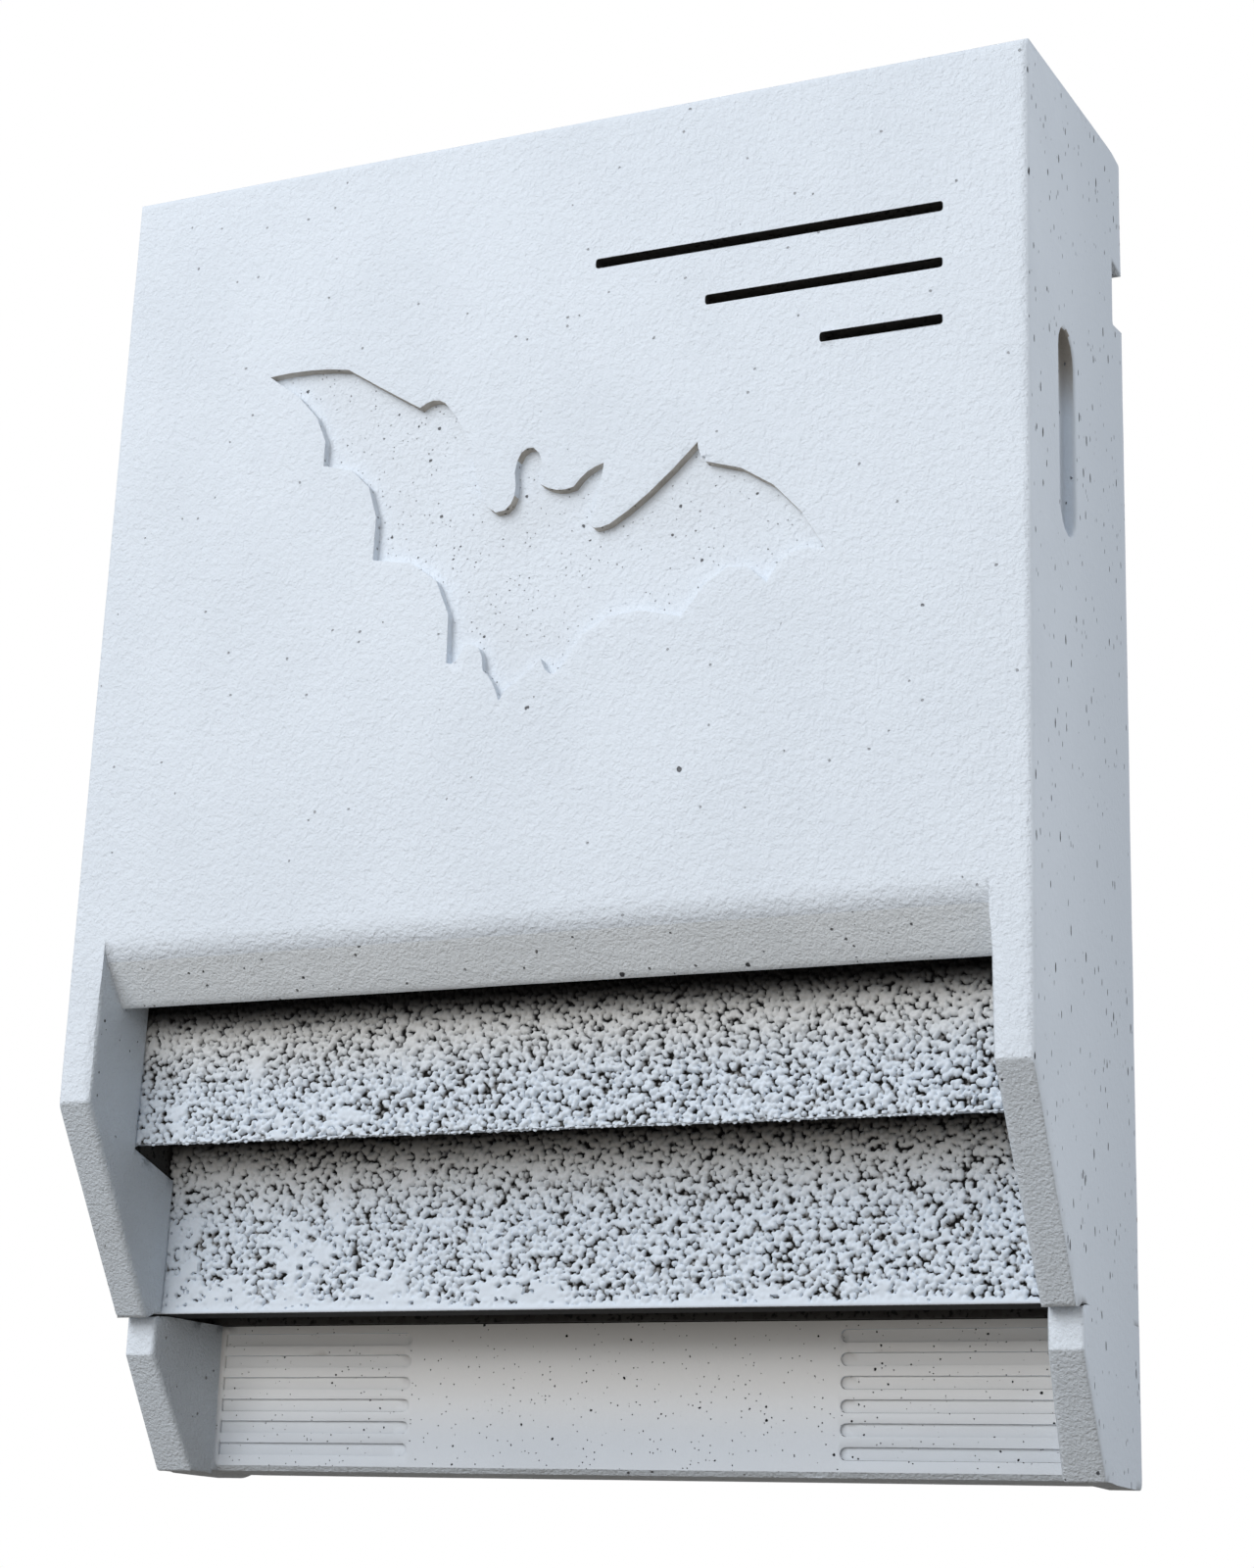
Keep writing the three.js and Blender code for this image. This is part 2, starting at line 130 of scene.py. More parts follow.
def lay_over(tree: Tree, value: Socket, start: float, end: float, under: object, over: object) -> Socket:
    """Lay one colour over another, softly, where a value is high.

    Args:
        tree: The material's node tree.
        value: The socket with the value.
        start: The value up to which only the lower colour shows.
        end: The value from which only the upper one shows.
        under: The lower colour, or its socket.
        over: The upper colour, or its socket.

    Returns:
        The socket with the colour.
    """
    share = add_node(tree, "MapRange", {0: value, 1: start, 2: end}, interpolation_type="SMOOTHSTEP")
    return add_node(tree, "Mix", {0: share.outputs[0], 6: under, 7: over}, data_type="RGBA").outputs[2]


class Surface(Enum):
    """The kinds of surface of a casting, in the order of its material slots."""

    FRONT = 0
    SIDE = 1
    SHADED_SLANT = 2
    BARE = 3
    PLATE = 4
    LIT_LIP = 5
    FIGURE = 6
    SHADED_WALL = 7
    GRIP = 8


@dataclass(frozen=True, kw_only=True)
class Finish:
    """A procedural finish: its name, and how it takes the light."""

    name: str
    roughness: float
    specular: float = 0.5
    metallic: float = 0.0

    def build(self) -> bpy.types.Material:
        """Make the material.

        Returns:
            The material.
        """
        material = bpy.data.materials.new(self.name)
        material.use_nodes = True
        tree = material.node_tree
        shader = tree.nodes["Principled BSDF"]
        place = add_node(tree, "TexCoord").outputs["Object"]
        plain = {
            "Roughness": self.roughness, "Specular IOR Level": self.specular, "Metallic": self.metallic}
        feed(tree, shader, plain)
        feed(tree, shader, self.pattern(tree, place))
        return material

    def pattern(self, tree: Tree, place: Socket) -> Inputs:
        """Lay the finish's pattern and return what it feeds to the shader.

        Args:
            tree: The material's node tree.
            place: The object's coordinates.

        Returns:
            A value or a socket for each of the shader's inputs that the pattern sets.
        """
        raise NotImplementedError


@dataclass(frozen=True, kw_only=True)
class Pits:
    """Air pits that the mould leaves in a cast face.

    spacing is the cell of the pattern, size the largest radius, and both are real sizes; share is the part
    of the cells that hold a pit; stretch makes the pits longer upwards. wobble is the size of the
    unevenness of their outline, sway how far it goes and edge how wide their slope is, all in radii.
    """

    spacing: float
    size: float
    share: float
    colour: str
    depth: float
    stretch: float = 1.0
    wobble: float = 1.6
    sway: float = 0.9
    edge: float = 0.25

    def mask(self, tree: Tree, place: Socket) -> Socket:
        """Return a socket that is 1 inside the pits and 0 outside.

        Args:
            tree: The material's node tree.
            place: The object's coordinates.

        Returns:
            The socket with the mask.
        """
        radius = self.size / self.spacing
        squashed = (1.0, 1.0, 1.0 / self.stretch)
        flat = add_node(tree, "Mapping", {"Vector": place, "Scale": squashed}).outputs[0]
        wobble = add_node(
            tree, "TexNoise", {"Vector": flat, "Scale": METRE / (self.size * self.wobble), "Detail": 1.0})
        shift = add_node(
            tree, "VectorMath", {0: wobble.outputs["Color"], 1: (0.5, 0.5, 0.5)}, operation="SUBTRACT")
        sway = add_node(
            tree, "VectorMath", {0: shift.outputs[0], "Scale": mm(self.size * self.sway)},
            operation="SCALE")
        moved = add_node(tree, "VectorMath", {0: flat, 1: sway.outputs[0]}, operation="ADD").outputs[0]
        cells = add_node(tree, "TexVoronoi", {"Vector": moved, "Scale": METRE / self.spacing}).outputs
        parts = add_node(tree, "SeparateColor", {0: cells["Color"]}).outputs
        reach = add_node(tree, "Math", {0: parts[1], 1: radius}, operation="MULTIPLY").outputs[0]
        slope = add_node(tree, "Math", {0: reach, 1: cells["Distance"]}, operation="SUBTRACT").outputs[0]
        inside = add_node(
            tree, "MapRange", {0: slope, 1: 0.0, 2: self.edge * radius}, interpolation_type="SMOOTHSTEP")
        chosen = add_node(tree, "Math", {0: parts[0], 1: self.share}, operation="LESS_THAN").outputs[0]
        return add_node(tree, "Math", {0: inside.outputs[0], 1: chosen}, operation="MULTIPLY").outputs[0]


@dataclass(frozen=True, kw_only=True)
class PaintedConcrete(Finish):
    """Mineral paint rolled on cast wood concrete: a matt cool white over fine unevenness, with air pits.

    peel and peel_depth are the size and depth of the soft dimples that the paint and the mould leave, and
    sand and sand_depth those of the fine grit that shows through on faces that got less paint. thin is a
    second colour that the paint grades into, and tone_way the axis along which it changes to that and the
    places where that starts and ends; on the side that grade is painted shade, on the plate painted light.
    mottle is the size of the soft clouds of darker tone in it.
    """

    colour: str
    shade: str
    peel: float
    peel_depth: float
    sand: float
    sand_depth: float
    pits: tuple[Pits, ...]
    thin: str = ""
    tone_way: tuple[int, float, float] = (1, -150.0, 10.0)
    mottle: float = 60.0
    clouds: Range = (0.35, 0.7)
    roughness: float = 0.85
    specular: float = 0.3

    def pattern(self, tree: Tree, place: Socket) -> Inputs:
        """Lay the clouds of shade, the thin coat, the dimples, the grit and the pits.

        Args:
            tree: The material's node tree.
            place: The object's coordinates.

        Returns:
            What the pattern feeds to the shader.
        """
        clouds = add_node(
            tree, "TexNoise",
            {"Vector": place, "Scale": METRE / self.mottle, "Detail": 4.0, "Roughness": 0.6})
        colour = lay_over(
            tree, clouds.outputs["Fac"], *self.clouds, linear(self.colour), linear(self.shade))
        # Grade into the second colour: painted shade on the side, painted light at the plate's top.
        if self.thin:
            axis, start, end = self.tone_way
            along = add_node(tree, "SeparateXYZ", {0: place}).outputs[axis]
            colour = lay_over(tree, along, mm(start), mm(end), colour, linear(self.thin))
        peel = add_node(
            tree, "TexNoise",
            {"Vector": place, "Scale": METRE / self.peel, "Detail": 2.0, "Roughness": 0.45})
        sand = add_node(
            tree, "TexNoise",
            {"Vector": place, "Scale": METRE / self.sand, "Detail": 2.0, "Roughness": 0.6})
        soft = add_node(tree, "Bump", {"Distance": mm(self.peel_depth), "Height": peel.outputs["Fac"]})
        normal = add_node(
            tree, "Bump",
            {"Distance": mm(self.sand_depth), "Height": sand.outputs["Fac"], "Normal": soft.outputs[0]})
        for pits in self.pits:
            mask = pits.mask(tree, place)
            paints = {0: mask, 6: colour, 7: linear(pits.colour)}
            colour = add_node(tree, "Mix", paints, data_type="RGBA").outputs[2]
            normal = add_node(
                tree, "Bump", {"Distance": mm(pits.depth), "Height": mask, "Normal": normal.outputs[0]},
                invert=True)
        return {"Base Color": colour, "Normal": normal.outputs[0]}


@dataclass(frozen=True, kw_only=True)
class GranularConcrete(Finish):
    """Open-pored wood concrete: round grains with paint on their heads and dark, bare gaps between them.

    The relief is in the mesh, and its cavity attribute, 0 in a gap and 1 on a head, tells how far the
    paint reached; the grey and black laid towards the gaps are bare concrete and also painted shade,
    darker the deeper the gap. The second attribute is the distance in millimetres below the edge in front
    that shades the face: there the gap colour is laid on as a painted shadow, and for a while below a warm
    tone as painted warm light. uneven is how much the grit of the surface frays the paint's edge.
    """

    colour: str
    thin: str
    worn: str
    gap: str
    grit: float
    grit_depth: float = 0.12
    uneven: float = 0.3
    painted: Range = (0.3, 0.62)
    opened: Range = (0.14, 0.4)
    # Millimetres below the shading edge over which the painted shadow, then the painted warm light, give
    # way.
    shadow_reach: Range = (0.0, 13.0)
    warm_light_reach: Range = (4.0, 38.0)
    roughness: float = 0.9
    specular: float = 0.2

    def pattern(self, tree: Tree, place: Socket) -> Inputs:
        """Lay the gaps, the paint on the heads, and the painted shadow and warm light over both.

        Args:
            tree: The material's node tree.
            place: The object's coordinates.

        Returns:
            What the pattern feeds to the shader.
        """
        cavity = add_node(tree, "Attribute", attribute_name=GrainedFace.CAVITY).outputs["Fac"]
        # Millimetres below the edge in front that shades the face, for the painted shadow and warm light.
        below = add_node(tree, "Attribute", attribute_name=GrainedFace.SHADOW_DEPTH).outputs["Fac"]
        grit = add_node(
            tree, "TexNoise",
            {"Vector": place, "Scale": METRE / self.grit, "Detail": 3.0, "Roughness": 0.6})
        frayed = add_node(
            tree, "Math", {0: grit.outputs["Fac"], 1: self.uneven, 2: -self.uneven / 2},
            operation="MULTIPLY_ADD")
        reach = add_node(tree, "Math", {0: cavity, 1: frayed.outputs[0]}, operation="ADD").outputs[0]
        # Towards the gaps bare grey, then black: bare concrete, and painted shade in the deeper gaps.
        lower = lay_over(tree, reach, *self.opened, linear(self.gap), linear(self.worn))
        # Painted warm light below the shading edge.
        paint = lay_over(tree, below, *self.warm_light_reach, linear(self.thin), linear(self.colour))
        colour = lay_over(tree, reach, *self.painted, lower, paint)
        # Painted shadow just below the shading edge.
        colour = lay_over(tree, below, *self.shadow_reach, linear(self.gap), colour)
        normal = add_node(
            tree, "Bump", {"Distance": mm(self.grit * self.grit_depth), "Height": grit.outputs["Fac"]})
        return {"Base Color": colour, "Normal": normal.outputs[0]}


@dataclass(frozen=True, kw_only=True)
class BareConcrete(Finish):
    """Unpainted wood concrete: grey cement with darker wood chips and small open pores.

    colour and chip are darkened inside the box below bare concrete's own grey, as painted shade. back and
    back_chip are the paler colours of the back face, where no painted shade darkens it, and back_way is
    where they come in, in millimetres from the wall. shades is the part of the chips' random shade over
    which they change, and pores that of the noise that opens a pore.
    """

    colour: str
    chip: str
    pore: str
    back: str
    back_chip: str
    back_way: Range = (-3.0, -1.5)
    chip_size: float = 4.5
    pore_size: float = 2.2
    shades: Range = (0.3, 1.0)
    pores: Range = (0.34, 0.44)
    depth: float = 0.25
    roughness: float = 0.95
    specular: float = 0.1

    def pattern(self, tree: Tree, place: Socket) -> Inputs:
        """Lay the chips and the pores, paler at the back.

        Args:
            tree: The material's node tree.
            place: The object's coordinates.

        Returns:
            What the pattern feeds to the shader.
        """
        chips = add_node(tree, "TexVoronoi", {"Vector": place, "Scale": METRE / self.chip_size})
        shade = add_node(tree, "SeparateColor", {0: chips.outputs["Color"]}).outputs[0]
        pores = add_node(
            tree, "TexNoise",
            {"Vector": place, "Scale": METRE / self.pore_size, "Detail": 3.0, "Roughness": 0.55})
        pores = pores.outputs["Fac"]
        behind = add_node(tree, "SeparateXYZ", {0: place}).outputs[1]
        # Inside, the colours are darkened as painted shade; the back keeps paler ones.
        inner = lay_over(tree, shade, *self.shades, linear(self.colour), linear(self.chip))
        outer = lay_over(tree, shade, *self.shades, linear(self.back), linear(self.back_chip))
        start, end = (mm(y) for y in self.back_way)
        solid = lay_over(tree, behind, start, end, inner, outer)
        colour = lay_over(tree, pores, *self.pores, linear(self.pore), solid)
        normal = add_node(tree, "Bump", {"Distance": mm(self.depth), "Height": pores})
        return {"Base Color": colour, "Normal": normal.outputs[0]}


@dataclass(frozen=True, kw_only=True)
class Metal(Finish):
    """Plain metal as it left the mill or the zinc bath: fine lines and slightly uneven sheen.

    line is the distance of the lines, stretch how they are drawn out, dulled the share of the colour that
    the dullest ones keep, and sheen how much less and more than the roughness theirs may be.
    """

    colour: str
    line: float
    stretch: Triple
    dulled: float = 0.82
    sheen: Range = (0.08, 0.12)
    depth: float = 0.02
    metallic: float = 1.0

    def pattern(self, tree: Tree, place: Socket) -> Inputs:
        """Lay the lines and the sheen.

        Args:
            tree: The material's node tree.
            place: The object's coordinates.

        Returns:
            What the pattern feeds to the shader.
        """
        low, high = self.sheen
        drawn = add_node(tree, "Mapping", {"Vector": place, "Scale": self.stretch}).outputs[0]
        lines = add_node(
            tree, "TexNoise", {"Vector": drawn, "Scale": METRE / self.line, "Detail": 3.0}).outputs["Fac"]
        sheen = add_node(
            tree, "MapRange",
            {"Value": lines, "To Min": self.roughness - low, "To Max": self.roughness + high})
        plain = linear(self.colour)
        dull = tuple(self.dulled * c for c in plain[:3]) + (1.0,)
        colour = add_node(tree, "Mix", {0: lines, 6: plain, 7: dull}, data_type="RGBA").outputs[2]
        normal = add_node(tree, "Bump", {"Distance": mm(self.depth), "Height": lines}).outputs[0]
        return {"Base Color": colour, "Roughness": sheen.outputs[0], "Normal": normal}


@dataclass(frozen=True, kw_only=True)
class MouldedNylon(Finish):
    """Grey nylon of a wall plug: an even colour with the faint dimples of a moulding."""

    colour: str
    dimple: float = 0.8
    depth: float = 0.03
    roughness: float = 0.5

    def pattern(self, tree: Tree, place: Socket) -> Inputs:
        """Lay the dimples.

        Args:
            tree: The material's node tree.
            place: The object's coordinates.

        Returns:
            What the pattern feeds to the shader.
        """
        dimples = add_node(tree, "TexNoise", {"Vector": place, "Scale": METRE / self.dimple})
        normal = add_node(tree, "Bump", {"Distance": mm(self.depth), "Height": dimples.outputs["Fac"]})
        return {"Base Color": linear(self.colour), "Normal": normal.outputs[0]}


@dataclass(frozen=True)
class Finishes:
    """All finishes of the bat box, each made once."""

    # Mineral paint on the front: cool white, with the soft dimples of a roller and a few air pits.
    front_paint: Finish = PaintedConcrete(
        name="painted_wood_concrete_front", colour="dfe8f2", shade="dbe4ee",
        peel=2.2, peel_depth=0.7, sand=1.0, sand_depth=0.45,
        pits=(Pits(spacing=2.4, size=0.8, share=0.014, colour="a3a8af", depth=0.4),
              Pits(spacing=3.6, size=1.1, share=0.003, colour="6a6d72", depth=0.8)))
    # The same paint on the mould's smooth side: flatter, with upright pits; greyer towards the wall as
    # painted shade.
    side_paint: Finish = PaintedConcrete(
        name="painted_wood_concrete_side", colour="dfe8f2", shade="dae3ed", thin="ccd5df",
        peel=2.6, peel_depth=0.2, sand=0.9, sand_depth=0.1,
        pits=(Pits(spacing=2.0, size=0.56, share=0.26, colour="737981", stretch=2.8, depth=0.4),
              Pits(spacing=2.6, size=0.76, share=0.08, colour="3c3f44", stretch=2.8, depth=0.8)))
    # Faces that point down and the mouth's inner faces: a darker copy of the paint, which is painted shade,
    # and sandy to the eye.
    shaded_slant_paint: Finish = PaintedConcrete(
        name="painted_wood_concrete_shaded_slant", colour="cfd8e1", shade="cad2da",
        peel=2.2, peel_depth=0.3, sand=1.1, sand_depth=0.5,
        pits=(Pits(spacing=2.4, size=0.8, share=0.05, colour="54575c", depth=0.7),
              Pits(spacing=3.0, size=0.9, share=0.03, colour="8d9093", depth=0.5)))
    # The landing plate came out of the mould smooth: satin flat, with black pinholes; lighter and warmer
    # towards its top, painted light under the overhang.
    plate_paint: Finish = PaintedConcrete(
        name="painted_wood_concrete_plate", colour="d0d7df", shade="ccd3db", thin="e6e7e7",
        tone_way=(2, -458.0, -428.0),
        peel=6.0, peel_depth=0.2, sand=0.9, sand_depth=0.05,
        pits=(Pits(spacing=2.2, size=0.65, share=0.09, colour="17181a", depth=1.0),
              Pits(spacing=1.5, size=0.42, share=0.22, colour="35373a", depth=0.6)))
    # The lip over the mouth: as the front, sandy, with small pits; lighter and warmer than the slant faces,
    # as painted light.
    lit_lip_paint: Finish = PaintedConcrete(
        name="painted_wood_concrete_lit_lip", colour="e2e9ef", shade="dce3e9",
        peel=2.4, peel_depth=0.45, sand=1.0, sand_depth=0.5,
        pits=(Pits(spacing=2.2, size=0.75, share=0.1, colour="6c6e70", depth=0.8),
              Pits(spacing=3.2, size=1.1, share=0.02, colour="3c3d3f", depth=0.9)))
    # The floor of the sunk bat, where the mould left many small grey pits.
    figure_paint: Finish = PaintedConcrete(
        name="painted_wood_concrete_figure", colour="dfe8f2", shade="d9e1ea",
        peel=2.2, peel_depth=0.8, sand=1.0, sand_depth=0.45,
        pits=(Pits(spacing=1.9, size=0.72, share=0.3, colour="a0a3a7", depth=0.6),
              Pits(spacing=3.0, size=1.0, share=0.04, colour="6c6f73", depth=0.8)))
    # Darker, browner paint on the down-facing walls under the figure's upper edges: painted shade, with the
    # brown of dirt.
    shaded_wall_paint: Finish = PaintedConcrete(
        name="shaded_painted_wood_concrete_wall", colour="c6c2bb", shade="aaa59d", mottle=9.0,
        peel=1.6, peel_depth=0.4, sand=0.8, sand_depth=0.4,
        pits=(Pits(spacing=1.8, size=0.7, share=0.2, colour="6d6963", depth=0.7),))
    # The grips: smooth as the side, and darker and browner towards their upper ends.
    grip_paint: Finish = PaintedConcrete(
        name="painted_wood_concrete_grip", colour="d9e2ec", shade="d4dde7", thin="a09c96",
        tone_way=(2, -86.0, -58.0),
        peel=2.6, peel_depth=0.3, sand=0.9, sand_depth=0.15,
        pits=(Pits(spacing=2.0, size=0.62, share=0.16, colour="737981", stretch=2.0, depth=0.4),
              Pits(spacing=2.6, size=0.85, share=0.05, colour="34373c", stretch=1.6, depth=0.8)))
    # Popcorn-like wood concrete of the baffles: pale heads of grains between black gaps, bare concrete and
    # partly painted shade; below the edge in front a painted shadow and painted warm light.
    grains: Finish = GranularConcrete(
        name="open_pored_wood_concrete", colour="d8e2ed", thin="dbdbd9", worn="8a8b8c", gap="1b1a19",
        grit=0.9)
    # Unpainted wood concrete, rough, and darkened inside as painted shade, so that slots and mouth read as
    # deep.
    bare: Finish = BareConcrete(
        name="bare_wood_concrete", colour="4b4b4a", chip="424140", pore="232323", back="98948d",
        back_chip="827e76")
    # Mill-finish aluminium of the rail: soft grey sheen with lines along its length.
    rail: Finish = Metal(
        name="mill_finish_aluminium", colour="c4c6c9", roughness=0.36, line=1.2, stretch=(0.04, 1.0, 1.0))
    # Zinc-plated screws and washers: brighter, with an uneven sheen.
    zinc: Finish = Metal(
        name="zinc_plated_steel", colour="b4b8bd", roughness=0.32, line=1.6, stretch=(1.0, 1.0, 1.0))
    # Grey nylon of the wall plugs: plain and slightly shiny.
    nylon: Finish = MouldedNylon(name="moulded_nylon", colour="8b8f94")


@dataclass(frozen=True)
class Zone:
    """A box of space in millimetres that holds one feature, and its mirror image unless one_side is set."""

    x: Range = EVERYWHERE
    y: Range = EVERYWHERE
    z: Range = EVERYWHERE
    one_side: bool = False

    def holds(self, place: Vector) -> bool:
        """Tell whether a place in millimetres is in the zone.

        Args:
            place: The place.

        Returns:
            True if it is, and not just on the zone's limits.
        """
        x = place.x if self.one_side else abs(place.x)
        found = ((x, self.x), (place.y, self.y), (place.z, self.z))
        return all(low < value < high for value, (low, high) in found)


@dataclass
class Casting:
    """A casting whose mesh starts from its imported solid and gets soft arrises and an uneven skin.

    cell is the spacing of the cuts that let faces bend. The skin sinks by noise of two sizes, bump and
    ripple. Near the joint between the castings the outer faces sink straight inwards, so that both agree.
    merge and flat are the distance and the angle in degrees within which the solid's loose triangles are
    joined. sharp is the angle from which an edge can be rounded, and smooth the one up to which it is
    shaded soft. A point further than held outside the worn faces isn't worn, and rounds is how often the
    others are drawn in, until they settle.
    """

    node: str
    cell: float = 5.0
    bump: float = 0.22
    bump_size: float = 26.0
    ripple: float = 0.05
    ripple_size: float = 9.0
    joint: Zone = Zone(z=(-411.2, -409.2))
    merge: float = 0.002
    flat: float = 0.4
    sharp: float = 24.0
    smooth: float = 38.0
    held: float = 0.3
    rounds: int = 50
    bm: bmesh.types.BMesh = field(init=False, repr=False)

    def __post_init__(self) -> None:
        """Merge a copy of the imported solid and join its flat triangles."""
        self.bm = bmesh.new()
        self.bm.from_mesh(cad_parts[self.node].data)
        bmesh.ops.remove_doubles(self.bm, verts=self.bm.verts, dist=mm(self.merge))
        bmesh.ops.dissolve_limit(
            self.bm, angle_limit=math.radians(self.flat), verts=self.bm.verts, edges=self.bm.edges)

    def soften(
        self, offset: float, segments: int, wanted: Callable[[bmesh.types.BMEdge, Vector], bool],
    ) -> None:
        """Round off the sharp edges that a test picks.

        Args:
            offset: Width that the rounding takes from each face, in millimetres.
            segments: Number of segments across the rounding.
            wanted: Test of an edge and its middle, in millimetres.
        """
        self.bm.normal_update()
        edges = [
            e for e in self.bm.edges
            if len(e.link_faces) == 2 and e.calc_face_angle() > math.radians(self.sharp)
            and wanted(e, (e.verts[0].co + e.verts[1].co) / 2 * METRE)
        ]
        bmesh.ops.bevel(
            self.bm, geom=edges, offset=mm(offset), offset_type="OFFSET", affect="EDGES",
            segments=segments, profile=0.5, clamp_overlap=True, material=-1)

    def classify(self, surface: Callable[[Vector, Vector], Surface]) -> None:
        """Give each face of the solid its kind of surface, before anything cuts or bends it.

        Args:
            surface: Kind of surface for a face's middle, in millimetres, and its normal.
        """
        self.bm.normal_update()
        for face in self.bm.faces:
            face.material_index = surface(face.calc_center_median() * METRE, face.normal).value

    def divide(self) -> None:
        """Cut all faces by evenly spaced planes, so that they can follow an uneven skin."""
        low, high = (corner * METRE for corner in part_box(self.node))
        for axis in range(3):
            normal = Vector((0.0, 0.0, 0.0))
            normal[axis] = 1.0
            count = int((high[axis] - low[axis]) / self.cell)
            gap = (high[axis] - low[axis]) / (count + 1)
            self.cut(normal * low[axis], normal, [gap * i for i in range(1, count + 1)])

    def cut(
        self, point: Vector, normal: Vector, offsets: list[float],
        region: Callable[[Vector], bool] | None = None,
    ) -> None:
        """Cut faces by parallel planes.

        Args:
            point: Place in millimetres from which the offsets count.
            normal: The planes' common direction, of length 1.
            offsets: Distances of the planes, in millimetres.
            region: Test of a face's middle, in millimetres, or None for all faces.
        """
        for offset in offsets:
            geometry = self.bm.verts[:] + self.bm.edges[:] + self.bm.faces[:]
            if region:
                faces = [f for f in self.bm.faces if region(f.calc_center_median() * METRE)]
                edges = {e for f in faces for e in f.edges}
                geometry = faces + list(edges) + list({v for e in edges for v in e.verts})
            place = (point + normal * offset) / METRE
            bmesh.ops.bisect_plane(self.bm, geom=geometry, plane_co=place, plane_no=normal, dist=1e-7)

    def wear(
        self, faces: list[tuple[Vector, Vector]], radius: float, amount: Callable[[Vector], float],
    ) -> None:
        """Wear the arrises between flat faces round.

        The points are drawn towards the solid that lies one radius inside all the faces, until they are no
        further from it than that radius.

        Args:
            faces: A point of each face in millimetres, and the face's outward direction, of length 1.
            radius: Radius of the worn arrises, in millimetres.
            amount: Share of the wear at a place in millimetres, from 0 to 1.
        """
        verts = [v for v in self.bm.verts if amount(v.co * METRE) > 0]
        start = np.array([v.co * METRE for v in verts])
        planes = [(np.array(point), np.array(out)) for point, out in faces]
        inside = np.all([(start - point) @ out < self.held for point, out in planes], axis=0)
        core = start.copy()
        pulls = [np.zeros_like(core) for _ in planes]
        for _ in range(self.rounds):
            for index, (point, out) in enumerate(planes):
                before = core + pulls[index]
                height = np.maximum((before - point) @ out + radius, 0)
                core = before - height[:, None] * out
                pulls[index] = before - core
        distance = np.linalg.norm(start - core, axis=1)
        scale = np.minimum(1.0, radius / np.maximum(distance, 1e-6))[:, None]
        worn = core + (start - core) * scale
        for vert, place, old, held in zip(verts, worn, start, inside):
            if held:
                vert.co += Vector(place - old) / METRE * amount(Vector(old))

    def roughen(self, share: Callable[[Vector], float]) -> None:
        """Sink the skin by soft noise of two sizes, never outwards.

        Args:
            share: Share of the unevenness at a place in millimetres, from 0 to 1.
        """
        self.bm.normal_update()
        moves = []
        for vert in self.bm.verts:
            place = vert.co * METRE
            depth = sum(
                (0.5 + 0.5 * noise.noise(place / size)) * deep
                for size, deep in ((self.bump_size, self.bump), (self.ripple_size, self.ripple)))
            normal = vert.normal
            if self.joint.holds(place) and abs(normal.x) > PARTLY:
                normal = Vector((math.copysign(1.0, normal.x), 0.0, 0.0))
            moves.append(normal * mm(depth * share(place)))
        for vert, move in zip(self.bm.verts, moves):
            vert.co -= move

    def finish(
        self, materials: list[bpy.types.Material], unpainted: Callable[[Vector], bool],
    ) -> bpy.types.Object:
        """Turn the mesh into the piece that stands for the node.

        Args:
            materials: Materials in the order of Surface.
            unpainted: Test whether a face's middle, in millimetres, lies where no paint reached.

        Returns:
            The new object.
        """
        bmesh.ops.triangulate(self.bm, faces=[f for f in self.bm.faces if len(f.verts) > 4])
        for face in self.bm.faces:
            if unpainted(face.calc_center_median() * METRE):
                face.material_index = Surface.BARE.value
            face.smooth = True
        return add_piece(f"{self.node}_cast", self.bm, self.smooth, materials, self.node)


def add_piece(
    name: str, bm: bmesh.types.BMesh, smooth: float, materials: list[bpy.types.Material],
    node: str,
) -> bpy.types.Object:
    """Make a piece of the box that stands for a CAD node.

    Args:
        name: The piece's name.
        bm: Its mesh, in place, which is freed.
        smooth: Angle in degrees up to which its edges are shaded soft.
        materials: Its materials.
        node: The CAD node that it replaces.

    Returns:
        The new object.
    """
    mesh = bpy.data.meshes.new(name)
    bm.to_mesh(mesh)
    bm.free()
    mesh.set_sharp_from_angle(angle=math.radians(smooth))
    for material in materials:
        mesh.materials.append(material)
    piece = bpy.data.objects.new(name, mesh)
    bpy.context.scene.collection.objects.link(piece)
    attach(piece, BODY)
    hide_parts(node)
    return piece


